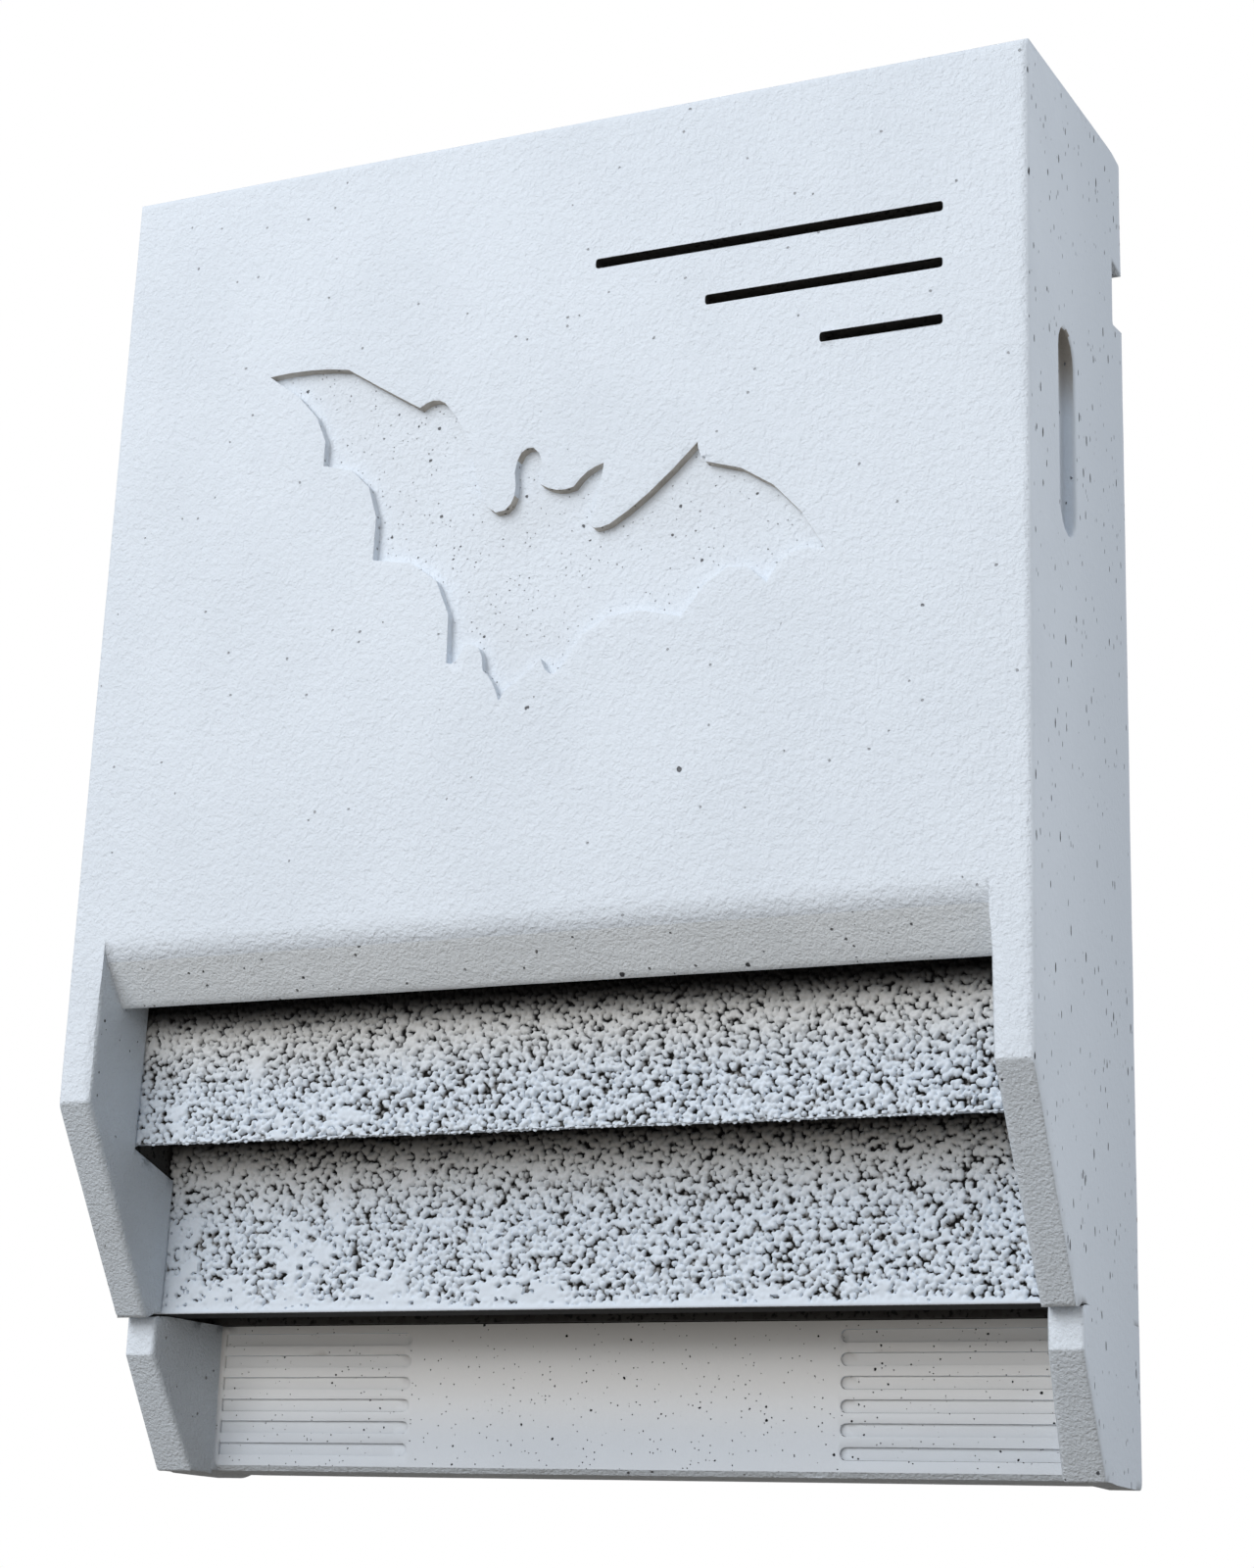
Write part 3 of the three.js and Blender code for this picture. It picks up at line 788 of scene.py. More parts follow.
@dataclass(frozen=True)
class Cheek:
    """The two cheeks of a casting: their flat faces, and how their arrises are worn.

    All is given for the right cheek. inner is a point of its inner face and lean the slope of that face,
    per millimetre backwards and upwards. front is the place of the front strip, bend the height where the
    strip turns back into the taper, along a crease with its own slope, foot where the taper ends and heel
    where the sole ends. back is where the wear stops, top the height where it starts, and ease over how
    many millimetres it comes in there; margin is how far it reaches past the inner face and fade over how
    many millimetres it ends. Near the joint between the castings, nothing wears off the joint's rim behind
    rim. steps are the distances of the cuts beside each arris.
    """

    inner: Triple
    lean: Range
    front: float
    bend: float
    foot: Range
    heel: Range
    back: float
    top: float
    ease: float
    rim: float
    outer: float = 190.0
    radius: float = 2.8
    outer_radius: float = 1.6
    margin: float = 4.0
    fade: float = 4.0
    crease: float = 0.2
    joint: Zone = Zone(z=(-430.4, -390.4))
    rim_fade: float = 6.0
    steps: tuple[float, ...] = (0.5, 1.1, 1.8, 2.6, 3.6)

    def faces(self, side: int) -> tuple[tuple[Vector, Vector], ...]:
        """Give a point and the outward direction of a cheek's faces.

        Args:
            side: 1 for the right cheek, -1 for the left one.

        Returns:
            The inner face, the outer face, the front strip, the taper and the sole.
        """
        bend = Vector((0, self.front, self.bend))
        foot = Vector((0, *self.foot))
        heel = Vector((0, *self.heel))
        slope = (foot - bend).normalized()
        sole = (heel - foot).normalized()
        found = (
            (Vector(self.inner), Vector((-1, *self.lean)).normalized()),
            (Vector((self.outer, 0, 0)), Vector((1, 0, 0))),
            (bend, Vector((0, -1, 0))),
            (bend, Vector((0, slope.z, -slope.y))),
            (foot, Vector((0, sole.z, -sole.y))),
        )
        mirror = Vector((side, 1, 1))
        return tuple((point * mirror, out * mirror) for point, out in found)

    def holds(self, side: int, above: bool | None, place: Vector) -> bool:
        """Tell whether a place is on one cheek.

        Args:
            side: 1 for the right cheek, -1 for the left one.
            above: True or False to ask for places above or below the bend, or None for both.
            place: The place in millimetres.

        Returns:
            True if it is.
        """
        beside = place.x * side > self.inner[0] - self.margin
        over = place.z > self.bend - self.crease * (place.y - self.front)
        return beside and place.z < self.top and place.y < self.back and above in (None, over)

    def share(self, side: int, ends: bool, place: Vector) -> float:
        """Give the share of the wear at a place on one cheek.

        Args:
            side: 1 for the right cheek, -1 for the left one.
            ends: True for the wear at the cheek's ends, where the joint's rim stays whole.
            place: The place in millimetres.

        Returns:
            The share, from 0 to 1.
        """
        if not self.holds(side, None, place):
            return 0.0
        below = (self.top - place.z) / self.ease if self.ease else 1.0
        share = min(1.0, below, (self.back - place.y) / self.fade)
        if ends and self.joint.holds(place):
            share *= min(1.0, max(0.0, (self.rim - place.y) / self.rim_fade))
        return share

    def cut(self, cast: Casting) -> None:
        """Cut a casting's cheeks into narrow strips beside all their arrises.

        Args:
            cast: The casting that has the cheeks.
        """
        bend = Vector((0, self.front, self.bend))
        crease = Vector((0, self.crease, 1)).normalized()
        for side in (1, -1):
            inner, outer, front, taper, sole = self.faces(side)
            everywhere, above, below = (partial(self.holds, side, part) for part in (None, True, False))
            cast.cut(bend, crease, [0.0], everywhere)
            for (point, out), region in (
                (inner, everywhere), (outer, everywhere), (front, above), (taper, below),
            ):
                cast.cut(point, -out, list(self.steps), region)
            cast.cut(bend, crease, [s for step in self.steps for s in (step, -step)], everywhere)
            cast.cut(sole[0], -sole[1], list(self.steps), below)

    def wear(self, cast: Casting, ends: list[tuple[Vector, Vector]]) -> None:
        """Wear the arrises of both cheeks.

        Args:
            cast: The casting that has the cheeks.
            ends: More flat faces, at the ends of the cheeks.
        """
        for side in (1, -1):
            inner, outer, front, taper, sole = self.faces(side)
            along, across = (partial(self.share, side, at_ends) for at_ends in (False, True))
            cast.wear([inner, front, taper], self.radius, along)
            cast.wear([outer, front, taper], self.outer_radius, along)
            cast.wear([inner, outer, front, taper, sole] + ends, self.outer_radius, across)


@dataclass
class Hood:
    """The hood casting: front plate, roof, side walls and upper cheeks.

    front, side and top are its outer faces, and a place within skin of one counts as on it. back is where
    the back face starts, and its upper rim lies within rim_reach of the top. figure, vents and grip hold
    the sunk bat, the vent slots and the grips. The bat's edges reach figure_depth deep, its floor starts at
    floor_from, and sink is how much deeper the weather washed that; shaded_slope is the slope from which a
    wall of it takes the darker, browner paint, painted shade under its upper edges with the brown of dirt.
    end_wall holds the bare ends of the crevices, which are upright. side_band, side_front and cheek_band
    are where the side's and the cheeks' paint starts, and under the slope from which a face there takes
    the darker slant paint, painted shade, and one on the lip the lighter lip paint, painted light; lip is
    how high the lip goes. vent_paint is how deep the paint goes into a slot, chamber the half width and
    the height of the dark chamber, and paint_reach how far back the paint goes above each height. inner
    holds the chamber's faces, which keep inner_share of the unevenness. The arrises are the widths of the
    roundings.
    """

    front: float = -140.0
    side: float = 190.0
    top: float = 62.0
    skin: float = 0.1
    back: float = -2.0
    rim_reach: float = 1.0
    figure: Zone = Zone((-122.0, 117.0), (-141.0, -136.0), (-197.0, -47.0), one_side=True)
    vents: Zone = Zone((15.0, 162.0), z=(-71.0, -20.0), one_side=True)
    grip: Zone = Zone((184.0, 191.0), (-100.0, -74.0), (-138.0, -50.0))
    end_wall: Zone = Zone((178.3, 180.0))
    inner: Zone = Zone((-1.0, 182.0), (-121.5, METRE))
    inner_share: float = 0.3
    figure_depth: float = 3.2
    floor_from: float = 1.4
    sink: float = 0.9
    shaded_slope: float = -0.35
    under: float = -0.2
    upright: float = 0.9
    side_band: float = 183.0
    side_front: float = -132.0
    cheek_band: float = 170.0
    lip: float = -283.5
    vent_paint: float = 1.2
    chamber: Range = (179.5, 42.0)
    paint_reach: tuple[Range, ...] = ((-287.5, -122.5), (-340.0, -105.0), (-METRE, -76.0))
    figure_arris: float = 0.55
    vent_arris: float = 0.7
    grip_arris: float = 1.6
    rim_arris: float = 1.4
    cheek: Cheek = Cheek(
        inner=(174.5, 0.0, -280.0), lean=(0.0, -0.0167), front=-140.0, bend=-338.0, foot=(-88.5, -412.4),
        heel=(-80.6, -410.2), back=-76.0, top=-289.0, ease=12.0, rim=-81.0)

    def build(self, materials: list[bpy.types.Material]) -> bpy.types.Object:
        """Model and dress the hood.

        Args:
            materials: Materials in the order of Surface.

        Returns:
            The piece that stands for the hood.
        """
        cast = Casting("hood")
        cast.classify(self.surface)
        cast.soften(self.figure_arris, 2, self.is_figure_edge)
        cast.soften(self.vent_arris, 2, self.is_vent_edge)
        cast.soften(self.grip_arris, 3, self.is_grip_edge)
        cast.soften(self.rim_arris, 2, self.is_back_rim)
        self.sink_figure(cast)
        self.cheek.cut(cast)
        cast.divide()
        self.cheek.wear(cast, [])
        cast.roughen(lambda place: self.inner_share if self.inner.holds(place) else 1.0)
        return cast.finish(materials, self.is_inside)

    def sink_figure(self, cast: Casting) -> None:
        """Wash the floor of the sunk bat out a little deeper.

        Args:
            cast: The hood's casting.
        """
        for vert in cast.bm.verts:
            place = vert.co * METRE
            if self.figure.holds(place) and place.y > self.front + self.floor_from:
                vert.co.y += mm(self.sink)

    def is_figure_edge(self, edge: bmesh.types.BMEdge, middle: Vector) -> bool:
        """Tell whether an edge runs round the sunk bat, at its top or its floor."""
        return self.figure.holds(middle) and is_level(edge, 1) and middle.y < self.front + self.figure_depth

    def is_vent_edge(self, edge: bmesh.types.BMEdge, middle: Vector) -> bool:
        """Tell whether an edge is the outer rim of a vent slot."""
        return self.vents.holds(middle) and middle.y < self.front + TOUCH

    def is_grip_edge(self, edge: bmesh.types.BMEdge, middle: Vector) -> bool:
        """Tell whether an edge is the rim or the foot of a carrying grip."""
        return self.grip.holds(middle) and is_level(edge, 0)

    def is_back_rim(self, edge: bmesh.types.BMEdge, middle: Vector) -> bool:
        """Tell whether an edge is the outer rim of the back."""
        outside = abs(middle.x) > self.side - self.skin or middle.z > self.top - self.rim_reach
        return outside and middle.y > -TOUCH

    def surface(self, middle: Vector, normal: Vector) -> Surface:
        """Tell the kind of surface at a face's middle.

        Args:
            middle: The face's middle, in millimetres.
            normal: The face's normal.

        Returns:
            The kind of surface.
        """
        sideways, under = abs(normal.x) > FACING, normal.z < self.under
        if normal.y > PARTLY and middle.y > self.back:
            return Surface.BARE
        # The sunk bat's down-facing walls take the darker, browner paint: painted shade, with the brown of
        # dirt.
        if self.figure.holds(middle) and middle.y > self.front + self.skin:
            return Surface.SHADED_WALL if normal.z < self.shaded_slope and normal.y > -PARTLY else Surface.FIGURE
        if self.grip.holds(middle) and abs(middle.x) < self.side - self.skin:
            return Surface.GRIP
        if self.end_wall.holds(middle) and abs(normal.x) > self.upright:
            return Surface.BARE
        # Down-facing faces of the sides and the cheeks' inner faces take the darker slant paint: painted
        # shade.
        if abs(middle.x) > self.side_band and (sideways or middle.y > self.side_front):
            return Surface.SHADED_SLANT if normal.z < DOWN else Surface.SIDE
        if abs(middle.x) > self.cheek_band and (under or sideways):
            return Surface.SHADED_SLANT
        # Down-facing faces of the lip take the lighter, warmer lip paint: painted light.
        return Surface.LIT_LIP if under and middle.z < self.lip else Surface.FRONT

    def is_inside(self, middle: Vector) -> bool:
        """Tell whether a place lies in the dark chamber, behind what the paint reached.

        Args:
            middle: The face's middle, in millimetres.

        Returns:
            True if no paint reached it.
        """
        side, top = self.chamber
        if abs(middle.x) > side or middle.z > top:
            return False
        reach = next(place for height, place in self.paint_reach if middle.z > height)
        return middle.y > reach or (self.vents.holds(middle) and middle.y > self.front + self.vent_paint)


def is_level(edge: bmesh.types.BMEdge, axis: int) -> bool:
    """Tell whether both ends of an edge have the same place on an axis."""
    first, last = edge.verts
    return abs(first.co[axis] - last.co[axis]) < mm(TOUCH)


@dataclass
class Base:
    """The base casting: landing plate, lower cheeks and feet.

    top is the height of the top face and seam the gap over it that the mortar closes, back where the back
    face starts and side_band where the side's paint does. toe, grooves and joint hold the lower front edge
    of the plate, the rims of the landing grooves and the outer edge of the top face. inner holds the
    plate's own faces, which keep inner_share of the unevenness, and plate_paint those that came out of the
    mould smooth. The arrises are the widths of the roundings.
    """

    top: float = -410.5
    seam: float = 0.3
    back: float = -2.0
    side_band: float = 189.0
    toe: Zone = Zone((-1.0, 174.0), (-36.0, -32.0), (-METRE, -463.0))
    grooves: Zone = Zone((85.0, 171.0), (-35.05, -34.95), (-463.0, METRE))
    joint: Zone = Zone((189.0, METRE), z=(-410.55, METRE))
    inner: Zone = Zone((-1.0, 172.0), (-36.0, METRE))
    plate_paint: Zone = Zone((-1.0, 178.0), (-41.0, METRE))
    inner_share: float = 0.35
    groove_arris: float = 0.15
    toe_arris: float = 1.6
    cheek: Cheek = Cheek(
        inner=(177.0, -80.0, 0.0), lean=(-0.1025, 0.0), front=-80.0, bend=-426.0, foot=(-51.0, -468.0),
        heel=(-40.0, -468.0), back=-38.0, top=-410.0, ease=0.0, rim=-72.0, radius=2.4)

    def build(self, materials: list[bpy.types.Material]) -> bpy.types.Object:
        """Model and dress the base.

        Args:
            materials: Materials in the order of Surface.

        Returns:
            The piece that stands for the base.
        """
        cast = Casting("base", cell=4.0, bump=0.2)
        cast.classify(self.surface)
        cast.soften(self.toe_arris, 3, lambda edge, middle: self.toe.holds(middle))
        cast.soften(self.groove_arris, 1, lambda edge, middle: self.grooves.holds(middle))
        self.close_joint(cast)
        self.cheek.cut(cast)
        cast.divide()
        self.cheek.wear(cast, [(Vector((0, 0, self.top)), Vector((0, 0, 1)))])
        cast.roughen(lambda place: self.inner_share if self.inner.holds(place) else 1.0)
        return cast.finish(materials, lambda middle: False)

    def close_joint(self, cast: Casting) -> None:
        """Raise the top face's outer edge to the hood, as the mortar in the joint does.

        Args:
            cast: The base's casting.
        """
        for vert in cast.bm.verts:
            if self.joint.holds(vert.co * METRE):
                vert.co.z += mm(self.seam)

    def surface(self, middle: Vector, normal: Vector) -> Surface:
        """Tell the kind of surface at a face's middle.

        Args:
            middle: The face's middle, in millimetres.
            normal: The face's normal.

        Returns:
            The kind of surface.
        """
        sideways = abs(normal.x) > FACING
        if normal.z > FACING or (normal.y > PARTLY and middle.y > self.back):
            return Surface.BARE
        if abs(middle.x) > self.side_band and sideways:
            return Surface.SIDE
        # Down-facing faces and the mouth's inner faces take the darker slant paint: painted shade.
        if normal.z < DOWN:
            return Surface.SHADED_SLANT
        if self.plate_paint.holds(middle):
            return Surface.PLATE
        return Surface.SHADED_SLANT if sideways else Surface.FRONT


@dataclass
class GrainedFace:
    """Relief of a granular slab: round grains in two layers, gaps between them, and paint that fills some.

    step is the spacing of the mesh. pitch is the mean distance of the grains, row that of their rows in
    pitches, stray how far they leave them, radius their smallest and largest radius and head how steep they
    are. sink is how far the heads vary in depth, drop the power by which most stay near the front, second
    the depth of the lower layer and gap that of the gaps. missing is the share of the grains that the lower
    and the upper layer lack, and swell how uneven the slab itself is. The paint comes in patches: soft
    noise of patch_size and of a third of that, mixed as patch_shares say. Its film lies film deep, and thin
    deeper where it is thin. dent and pin are the dents and the pinholes in it, each with a strength, a size
    and a level of noise. It leaves holes deeper than hole open, over a soft slope. foremost is the
    percentage of the relief that lies behind a depth of 0.
    """

    seed: int
    step: float = 0.5
    pitch: float = 2.45
    row: float = 0.87
    radius: Range = (1.15, 1.6)
    head: float = 1.25
    stray: float = 0.65
    sink: float = 0.9
    drop: float = 1.3
    second: float = 1.35
    gap: float = 3.4
    missing: Range = (0.03, 0.07)
    swell: float = 0.6
    swell_size: float = 9.0
    patch_size: float = 16.0
    patch_shares: Range = (0.6, 0.4)
    film: float = 0.75
    thin: float = 1.1
    dent: Triple = (0.7, 2.6, 0.6)
    hole: float = 1.7
    slope: float = 0.4
    pin: Triple = (1.8, 1.7, 0.72)
    foremost: float = 99.9

    CAVITY = "cavity"
    SHADOW_DEPTH = "below_shadow_edge"

    def lattice(self, shape: tuple[int, int], cell: float, rng: np.random.Generator) -> np.ndarray:
        """Make soft noise from 0 to 1 on the mesh's points.

        Args:
            shape: Rows and columns.
            cell: Size of the noise, in millimetres.
            rng: The seeded generator.

        Returns:
            The noise.
        """
        rows, columns = shape
        v = np.arange(rows) * self.step / cell
        u = np.arange(columns) * self.step / cell
        knots = rng.random((int(v[-1]) + 2, int(u[-1]) + 2))
        vi, ui = v.astype(int), u.astype(int)
        fv, fu = v - vi, u - ui
        fv = (fv * fv * (3 - 2 * fv))[:, None]
        fu = (fu * fu * (3 - 2 * fu))[None, :]
        low = knots[np.ix_(vi, ui)] * (1 - fu) + knots[np.ix_(vi, ui + 1)] * fu
        high = knots[np.ix_(vi + 1, ui)] * (1 - fu) + knots[np.ix_(vi + 1, ui + 1)] * fu
        return low * (1 - fv) + high * fv

    def relief(
        self, shape: tuple[int, int], paint: Callable[[np.ndarray, np.ndarray, np.ndarray], np.ndarray],
    ) -> np.ndarray:
        """Work out the depth of the face at each point of the mesh.

        Args:
            shape: Rows and columns.
            paint: Share of the paint's filling, from soft noise, the distance up the face in millimetres
                and the place across it from 0 at the left to 1.

        Returns:
            Depths in millimetres, 0 at the foremost heads and negative behind them.
        """
        rng = np.random.default_rng(self.seed)
        depth = np.full(shape, -self.gap)
        for level, missing in zip((self.second, 0.0), self.missing):
            self.scatter(depth, rng, level, missing)
        depth -= self.swell * self.lattice(shape, self.swell_size, rng)
        coarse, fine = self.patch_shares
        clouds = coarse * self.lattice(shape, self.patch_size, rng)
        clouds += fine * self.lattice(shape, self.patch_size / 3, rng)
        along = (np.arange(shape[0]) * self.step)[:, None]
        across = (np.arange(shape[1]) / shape[1])[None, :]
        share = np.clip(paint(clouds, along, across), 0, 1)
        strength, size, level = self.pin
        pins = strength * (self.lattice(shape, size, rng) > level)
        open_hole = np.clip((-self.hole - depth) / self.slope, 0, 1) * np.clip(2 - 2 * share + pins, 0, 1)
        strength, size, level = self.dent
        dents = strength * (self.lattice(shape, size, rng) - level)
        film = np.maximum(depth, -self.film - self.thin * (1 - share) + dents)
        padded = np.pad(film, 1, mode="edge")
        across = padded[1:-1, :-2] + padded[1:-1, 2:]
        along = padded[:-2, 1:-1] + padded[2:, 1:-1]
        film = (2 * film + across + along) / 6
        depth = depth + (film - depth) * share * (1 - open_hole)
        return np.clip(depth - np.percentile(depth, self.foremost), -self.gap, 0)

    def scatter(self, depth: np.ndarray, rng: np.random.Generator, level: float, missing: float) -> None:
        """Raise the relief to one layer of round grains.

        Args:
            depth: The relief so far.
            rng: The seeded generator.
            level: Depth of the layer's foremost heads.
            missing: Share of the grains that are missing.
        """
        height, width = (count * self.step for count in depth.shape)
        smallest, largest = self.radius
        for row, v in enumerate(np.arange(-self.pitch, height + self.pitch, self.pitch * self.row)):
            shift = self.pitch / 2 * (row % 2)
            for u in np.arange(-self.pitch, width + self.pitch, self.pitch):
                jitter = (rng.random(2) - 0.5) * self.pitch * self.stray
                size = smallest + (largest - smallest) * rng.random()
                drop = level + self.sink * rng.random() ** self.drop
                if rng.random() > missing:
                    self.add_grain(depth, u + shift + jitter[0], v + jitter[1], size, drop)

    def add_grain(self, depth: np.ndarray, u: float, v: float, size: float, drop: float) -> None:
        """Raise the relief to one round grain.

        Args:
            depth: The relief so far.
            u: Place across, in millimetres.
            v: Place along the face.
            size: The grain's radius.
            drop: How far its head lies behind the foremost ones.
        """
        rows, columns = depth.shape
        i0, i1 = max(0, int((v - size) / self.step)), min(rows, int((v + size) / self.step) + 2)
        j0, j1 = max(0, int((u - size) / self.step)), min(columns, int((u + size) / self.step) + 2)
        if i0 >= i1 or j0 >= j1:
            return
        dv = np.arange(i0, i1)[:, None] * self.step - v
        du = np.arange(j0, j1)[None, :] * self.step - u
        square = size * size - dv * dv - du * du
        head = self.head * (np.sqrt(np.maximum(square, 0)) - size) - drop
        window = depth[i0:i1, j0:j1]
        np.maximum(window, np.where(square > 0, head, -self.gap), out=window)


@dataclass
class SlabWay:
    """The way from a slab's lower rear edge forward under it, round its lower front edge and up its face.

    rise is how much higher the underside's front is than its rear, and all is in millimetres.
    """

    front: float
    back: float
    low: float
    rise: float
    radius: float

    @property
    def run(self) -> float:
        """Length of the straight way under the slab."""
        return self.back - self.front - self.radius

    @property
    def bend(self) -> float:
        """Length of the way round the edge."""
        return self.radius * math.pi / 2

    def length(self, top: float) -> float:
        """Length of the whole way up to a height."""
        return self.run + self.bend + top - self.place(self.run + self.bend)[0].z

    def place(self, s: float) -> tuple[Vector, Vector]:
        """Find the place and the outward direction at a distance along the way.

        Args:
            s: Distance from the lower rear edge.

        Returns:
            The place and the direction, both with an x of 0.
        """
        climb = self.rise / (self.back - self.front)
        if s < self.run:
            return Vector((0, self.back - s, self.low + climb * s)), Vector((0, 0, -1))
        centre = Vector((0, self.front + self.radius, self.low + climb * self.run + self.radius))
        if s < self.run + self.bend:
            angle = (s - self.run) / self.radius
            out = Vector((0, -math.sin(angle), -math.cos(angle)))
            return centre + out * self.radius, out
        return Vector((0, self.front, centre.z + s - self.run - self.bend)), Vector((0, -1, 0))


@dataclass
class Baffle:
    """A granular slab inside the box, with its relief on the part of its face that shows.

    shown is the height of the relief on the front face and wrap its reach under the lower edge, with the
    relief coming in over the first and going over the last of fades; above it the mesh is coarse.
    shadow_top is the height of the edge in front whose shade is painted on the face below it, and under
    the share of the paint that the underside keeps, which is darker as bare concrete and as painted shade.
    end_gap is the width of the open joint that shows at the slab's ends, which is painted dark together
    with its contact shadow.

    filled is how much paint fills the gaps in patches, over a soft slope from level, and filled_left how
    much more at the left, as far as left. smooth_edge is the height of the smooth lower edge, which its
    ragged shares make uneven and its leaning ones lower to the right; edge_fill is how full it is at most
    and rim the height of its full strip.
    """

    node: str
    face: GrainedFace
    shown: float = 56.0
    wrap: float = 4.0
    fades: Range = (2.0, 5.0)
    coarse: float = 50.0
    edge_radius: float = 2.2
    shadow_top: float = 0.0
    under: float = 0.0
    end_gap: float = 1.2
    filled: float = 0.0
    filled_left: float = 0.0
    level: float = 0.7
    slope: float = 0.3
    left: float = 0.6
    smooth_edge: float = 0.0
    ragged: Range = (0.35, 1.1)
    leaning: Range = (1.4, 1.0)
    edge_fill: float = 1.4
    rim: float = 2.0
    sharp: float = 60.0

    def paint(self, clouds: np.ndarray, along: np.ndarray, across: np.ndarray) -> np.ndarray:
        """Give the share of the paint in the gaps, higher in patches, at the left and along a smooth edge.

        Args:
            clouds: Soft noise from 0 to 1.
            along: Distance up the face, in millimetres.
            across: Place across the face, from 0 at the left to 1.

        Returns:
            The share, which may pass 0 and 1.
        """
        beside = self.filled_left * np.clip(1 - across / self.left, 0, 1)
        share = (clouds - self.level + self.filled + beside) / self.slope
        if self.smooth_edge > 0:
            height = along - self.wrap
            ragged = self.ragged[0] + self.ragged[1] * clouds
            reach = self.smooth_edge * ragged * (self.leaning[0] - self.leaning[1] * across)
            share = share + np.clip(2 - height / reach, 0, self.edge_fill) + 2.0 * (height < self.rim)
        return share

    def build(self, material: bpy.types.Material, bare: bpy.types.Material) -> bpy.types.Object:
        """Model and dress the slab.

        Args:
            material: The granular finish.
            bare: The finish of the hidden faces.

        Returns:
            The piece that stands for the slab.
        """
        low, high = (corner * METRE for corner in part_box(self.node))
        places = [v.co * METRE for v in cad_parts[self.node].data.vertices]
        near = 0.5
        toe = min(p.z for p in places if p.y < low.y + near)
        heel = min(p.z for p in places if p.y > high.y - near)
        way = SlabWay(low.y, high.y, heel, toe - heel, self.edge_radius)
        first = way.run - self.wrap
        fine = int((self.wrap + way.bend + self.shown) / self.face.step) + 1
        columns = int((high.x - low.x) / self.face.step) + 1
        depths = self.face.relief((fine, columns), self.paint)
        stations = [0.0, first / 2]
        stations += [first + self.face.step * i for i in range(fine)]
        top = way.length(high.z)
        rest = max(1, round((top - stations[-1]) / self.coarse))
        stations += [stations[-1] + (top - stations[-1]) * (i + 1) / rest for i in range(rest)]
        bm = bmesh.new()
        bmesh.ops.create_grid(bm, x_segments=columns - 1, y_segments=len(stations) - 1, size=0.5)
        bm.verts.ensure_lookup_table()
        cavity = bm.verts.layers.float.new(GrainedFace.CAVITY)
        shadow_layer = bm.verts.layers.float.new(GrainedFace.SHADOW_DEPTH)
        span = (high.x - low.x) / (columns - 1)
        start = way.run + way.bend if self.smooth_edge > 0 else first
        fade_in, fade_out = self.fades
        for index, vert in enumerate(bm.verts):
            row, column = divmod(index, columns)
            point, out = way.place(stations[row])
            held = min(1.0, max(0.0, (stations[row] - start) / fade_in)) if row > 1 else 0.0
            held *= min(1.0, max(0.0, (top - stations[row]) / fade_out))
            depth = depths[min(max(row - 2, 0), fine - 1), column] * held
            vert.co = (point + out * depth + Vector((low.x + span * column, 0, 0))) / METRE
            # Darker underside and ends: bare concrete and painted shade under the slab, and at the ends a
            # dark joint with its painted contact shadow.
            shade = max(self.under, min(1.0, (stations[row] - way.run) / way.bend))
            shade *= min(1.0, min(column, columns - 1 - column) * span / self.end_gap)
            vert[cavity] = float(np.clip(1 + depth / self.face.gap, 0, 1)) * shade
            # Depth below the shading edge in front, for the painted shadow and warm light.
            vert[shadow_layer] = max(0.0, self.shadow_top - point.z)
        self.close_back(bm, mm(high.y), mm(high.z))
        for item in bm.faces:
            item.smooth = True
            item.material_index = 1 if item.normal.y > PARTLY or len(item.verts) > 4 else 0
        name = f"{self.node}_grained"
        return add_piece(name, bm, self.sharp, [material, bare], self.node)

    def close_back(self, bm: bmesh.types.BMesh, back: float, top: float) -> None:
        """Draw the upper rim back to the slab's rear and close the rear and the ends.

        Args:
            bm: The mesh with the relief.
            back: Place of the rear face, in metres.
            top: Height of the slab's upper end, in metres.
        """
        near = mm(TOUCH)
        rim = [e for e in bm.edges if e.is_boundary and min(v.co.z for v in e.verts) > top - near]
        drawn = bmesh.ops.extrude_edge_only(bm, edges=rim)["geom"]
        upper = [v for v in drawn if isinstance(v, bmesh.types.BMVert)]
        for vert in upper:
            vert.co.y = back
        lower = [v for v in bm.verts if v.co.y > back - near and v not in upper]
        for pick in (min, max):
            ends = [pick(verts, key=lambda v: v.co.x) for verts in (upper, lower)]
            bmesh.ops.contextual_create(bm, geom=ends)
        bmesh.ops.holes_fill(bm, edges=[e for e in bm.edges if e.is_boundary or e.is_wire], sides=0)
        bmesh.ops.recalc_face_normals(bm, faces=bm.faces)
        bm.normal_update()


def dress_node(name: str, material: bpy.types.Material) -> bpy.types.Object:
    """Assign a finish to a CAD node that keeps its shape.

    Args:
        name: The node's name.
        material: Its finish.

    Returns:
        The node.
    """
    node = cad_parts[name]
    if not node.material_slots:
        node.data.materials.append(material)
    for slot in node.material_slots:
        slot.material = material
    return node


@dataclass
class Hanger:
    """The rail with its screws, washers and plugs, which keep their CAD shape."""

    count: int = 3

    def build(
        self, rail: bpy.types.Material, zinc: bpy.types.Material, nylon: bpy.types.Material,
    ) -> list[bpy.types.Object]:
        """Give each CAD node of the hanger its finish.

        Args:
            rail: Finish of the rail.
            zinc: Finish of the screws and washers.
            nylon: Finish of the wall plugs.

        Returns:
            The nodes.
        """
        nodes = [dress_node("hanging_rail", rail)]
        for kind, material in (("rail_screw", zinc), ("rail_washer", zinc), ("wall_plug", nylon)):
            nodes += [dress_node(f"{kind}_{i}", material) for i in range(1, self.count + 1)]
        return nodes


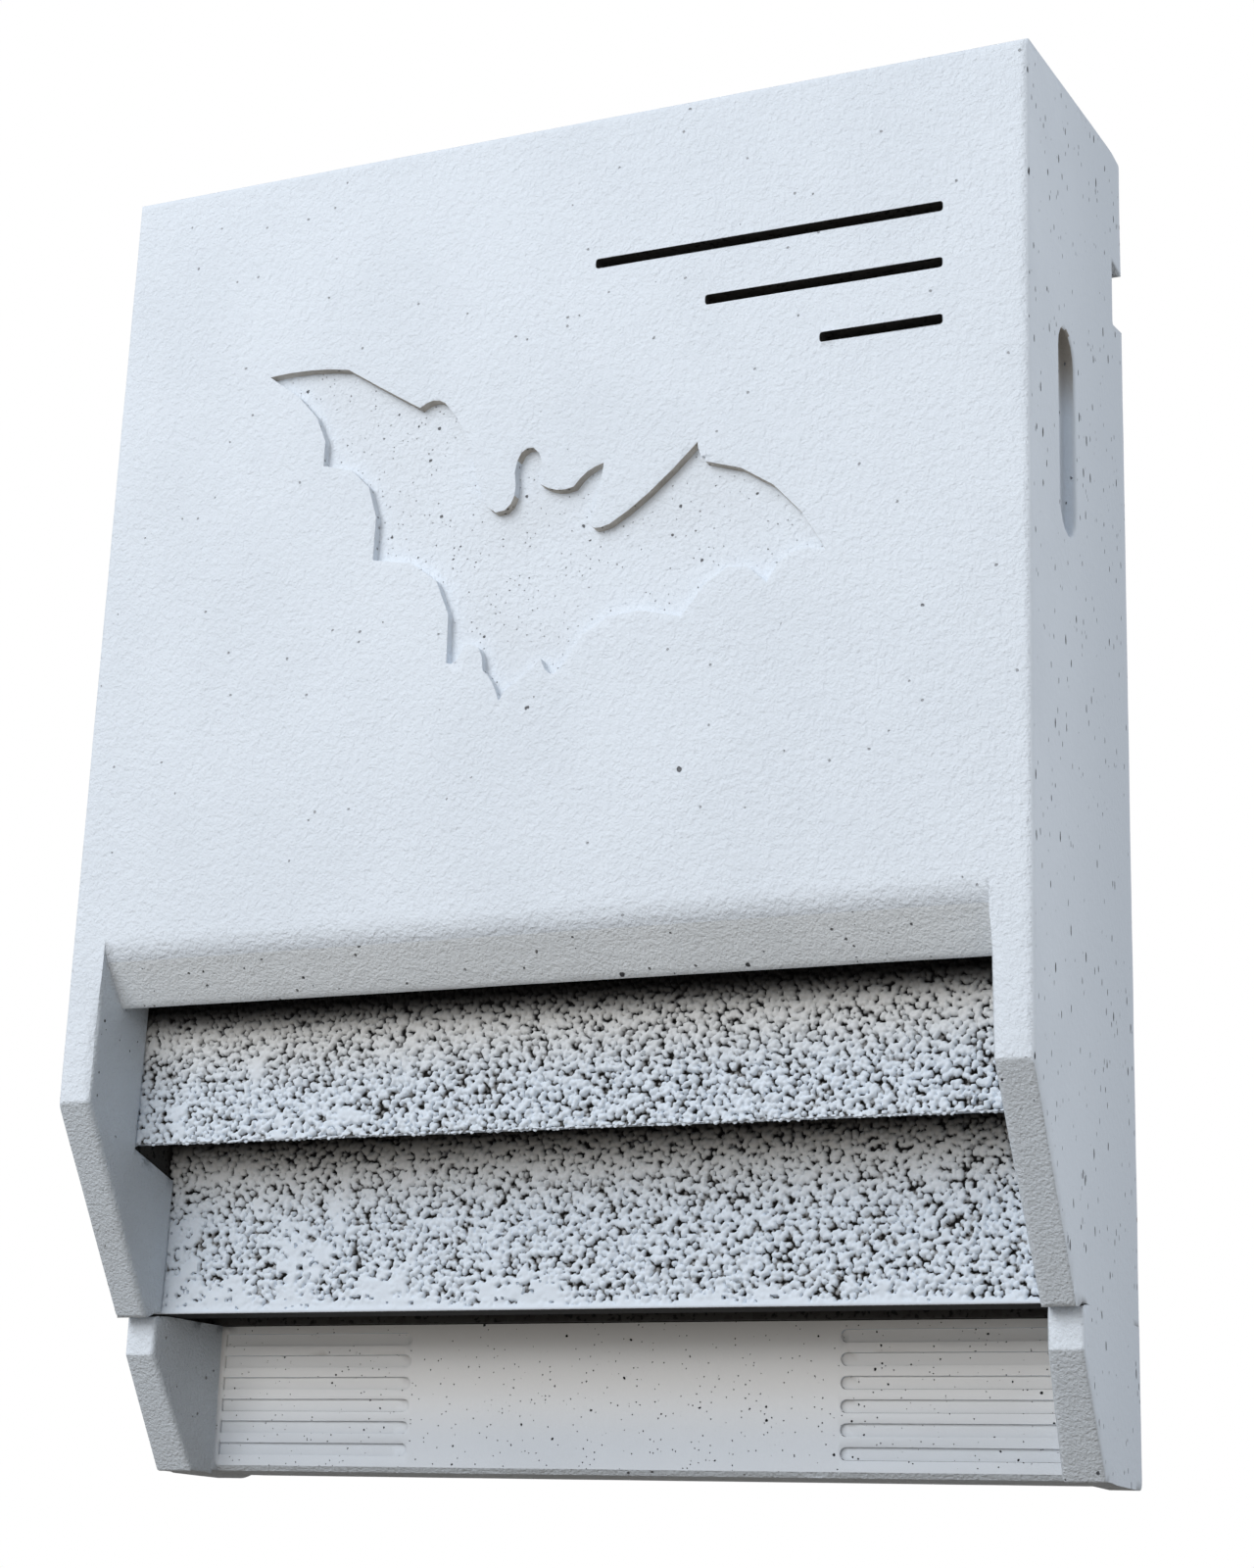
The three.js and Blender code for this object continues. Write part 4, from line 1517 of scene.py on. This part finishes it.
@dataclass(frozen=True)
class PhotoCamera:
    """The camera of the photograph: in front, to the right and below the box, looking up.

    The focal length is in pixels of the image's width, and the angles are in degrees.
    """

    place: Triple = (431.6, -1024.8, -521.1)
    turn: Triple = (106.655, -1.9504, 23.2266)
    focal_pixels: float = 2882.1
    sensor: float = 36.0
    near: float = 10.0

    def build(self) -> None:
        """Make the camera and set it as the scene's camera."""
        data = bpy.data.cameras.new("photo_camera")
        data.sensor_fit = "HORIZONTAL"
        data.sensor_width = self.sensor
        data.lens = self.focal_pixels * self.sensor / IMAGE_WIDTH
        data.clip_start = mm(self.near)
        camera = bpy.data.objects.new("photo_camera", data)
        camera.location = Vector(self.place) / METRE
        camera.rotation_euler = Euler([math.radians(angle) for angle in self.turn], "XYZ")
        bpy.context.scene.collection.objects.link(camera)
        bpy.context.scene.camera = camera


@dataclass(frozen=True)
class Lamp:
    """A square soft box: its place and aim in millimetres, its width, its power in watts and its colour."""

    name: str
    place: Triple
    width: float
    power: float
    colour: str
    aim: Triple = (0.0, -70.0, -200.0)

    def build(self) -> None:
        """Hang the lamp in the scene."""
        data = bpy.data.lights.new(self.name, "AREA")
        data.shape = "SQUARE"
        data.size = mm(self.width)
        data.energy = self.power
        data.color = linear(self.colour)[:3]
        lamp = bpy.data.objects.new(self.name, data)
        lamp.location = Vector(self.place) / METRE
        lamp.rotation_euler = (Vector(self.aim) - Vector(self.place)).to_track_quat("-Z", "Y").to_euler()
        bpy.context.scene.collection.objects.link(lamp)


@dataclass(frozen=True)
class Studio:
    """A white studio: a pale floor under the box, a white surround and large soft boxes.

    The floor throws little light back up, as the far floor of a studio does, and is pale to the eye.
    """

    floor: float = -900.0
    floor_width: float = 6000.0
    floor_colour: str = "e6e7e8"
    floor_bounce: str = "746c62"
    floor_roughness: float = 0.9
    ambient: float = 0.3
    ambient_colour: str = "fbfcff"
    lamps: tuple[Lamp, ...] = (
        Lamp("upper_soft_box", (-1300.0, -2300.0, 2000.0), 1600.0, 26.0, "fcfdff"),
        Lamp("middle_soft_box", (-900.0, -2650.0, 750.0), 1400.0, 34.0, "fcfdff"),
        Lamp("front_soft_box", (0.0, -3000.0, 0.0), 1500.0, 18.0, "fffdfa"),
        Lamp("right_soft_box", (950.0, -950.0, 0.0), 500.0, 0.8, "f8fbff"),
        Lamp("side_soft_box", (2300.0, 900.0, 300.0), 1500.0, 24.5, "f8fbff"),
    )

    def build(self) -> None:
        """Light the scene and lay the floor."""
        bpy.context.scene.view_settings.view_transform = "Standard"
        for lamp in self.lamps:
            lamp.build()
        self.surround()
        self.lay_floor()

    def white_to_eye(self, tree: Tree) -> Socket:
        """Tell the rays that see or mirror the surround from all others.

        Args:
            tree: The node tree of a material or the world.

        Returns:
            The socket that is 1 for those rays.
        """
        path = add_node(tree, "LightPath").outputs
        seen = path["Is Camera Ray"]
        for ray in ("Is Glossy Ray", "Is Transmission Ray"):
            seen = add_node(tree, "Math", {0: seen, 1: path[ray]}, operation="MAXIMUM").outputs[0]
        return seen

    def surround(self) -> None:
        """Make the world plain light on the object and white to the eye."""
        world = bpy.data.worlds.new("white_surround")
        world.use_nodes = True
        tree = world.node_tree
        plain = tree.nodes["Background"]
        feed(tree, plain, {"Color": linear(self.ambient_colour), "Strength": self.ambient})
        white = add_node(tree, "Background", {"Color": linear("ffffff"), "Strength": 1.0})
        mix = add_node(
            tree, "MixShader", {0: self.white_to_eye(tree), 1: plain.outputs[0], 2: white.outputs[0]})
        feed(tree, tree.nodes["World Output"], {"Surface": mix.outputs[0]})
        bpy.context.scene.world = world

    def lay_floor(self) -> None:
        """Lay a pale matt floor well under the box."""
        bm = bmesh.new()
        bmesh.ops.create_grid(bm, x_segments=1, y_segments=1, size=mm(self.floor_width) / 2)
        bmesh.ops.translate(bm, verts=bm.verts, vec=(0.0, 0.0, mm(self.floor)))
        mesh = bpy.data.meshes.new("floor")
        bm.to_mesh(mesh)
        bm.free()
        material = bpy.data.materials.new("pale_studio_floor")
        material.use_nodes = True
        tree = material.node_tree
        colours = {
            0: self.white_to_eye(tree), 6: linear(self.floor_bounce), 7: linear(self.floor_colour)}
        colour = add_node(tree, "Mix", colours, data_type="RGBA").outputs[2]
        feed(tree, tree.nodes["Principled BSDF"], {"Roughness": self.floor_roughness, "Base Color": colour})
        mesh.materials.append(material)
        floor = bpy.data.objects.new("floor", mesh)
        bpy.context.scene.collection.objects.link(floor)


@dataclass
class BatBox:
    """The whole bat box: its castings, its slabs and what it hangs on."""

    finishes: Finishes = field(default_factory=Finishes)
    hood: Hood = field(default_factory=Hood)
    base: Base = field(default_factory=Base)
    hanger: Hanger = field(default_factory=Hanger)
    slabs: tuple[str, ...] = (
        "rear_wall", "front_spacer_left", "front_spacer_right", "rear_spacer_left", "rear_spacer_right")
    # Each slab gets a painted shadow below the height of the edge in front of it.
    baffles: tuple[Baffle, ...] = (
        Baffle("front_baffle", GrainedFace(7, pitch=2.2, radius=(0.85, 1.5), patch_size=11.0), filled=0.03,
               filled_left=0.22, edge_radius=1.6, shadow_top=-297.0, under=0.8),
        Baffle("middle_baffle", GrainedFace(19, step=0.54, pitch=2.3, radius=(0.9, 1.55), patch_size=11.0),
               shown=70.0, wrap=1.0, filled=0.04, filled_left=0.32, smooth_edge=8.0, edge_radius=0.8,
               shadow_top=-342.0),
    )

    def build(self) -> list[bpy.types.Object]:
        """Build and dress every piece.

        Returns:
            The pieces, in the order in which they were made.
        """
        use = self.finishes
        paints = [
            finish.build() for finish in (
                use.front_paint, use.side_paint, use.shaded_slant_paint, use.bare, use.plate_paint,
                use.lit_lip_paint, use.figure_paint, use.shaded_wall_paint, use.grip_paint)
        ]
        bare = paints[Surface.BARE.value]
        pieces = [self.hood.build(paints), self.base.build(paints)]
        grains = use.grains.build()
        pieces += [baffle.build(grains, bare) for baffle in self.baffles]
        pieces += [dress_node(name, bare) for name in self.slabs]
        return pieces + self.hanger.build(use.rail.build(), use.zinc.build(), use.nylon.build())


def main() -> None:
    """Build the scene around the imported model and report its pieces."""
    logging.basicConfig(level=logging.INFO, format="%(name)s: %(message)s")
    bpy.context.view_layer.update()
    PhotoCamera().build()
    Studio().build()
    for piece in BatBox().build():
        LOG.info("%s: %d faces", piece.name, len(piece.data.polygons))
    bpy.context.view_layer.update()


if __name__ == "__main__":
    main()
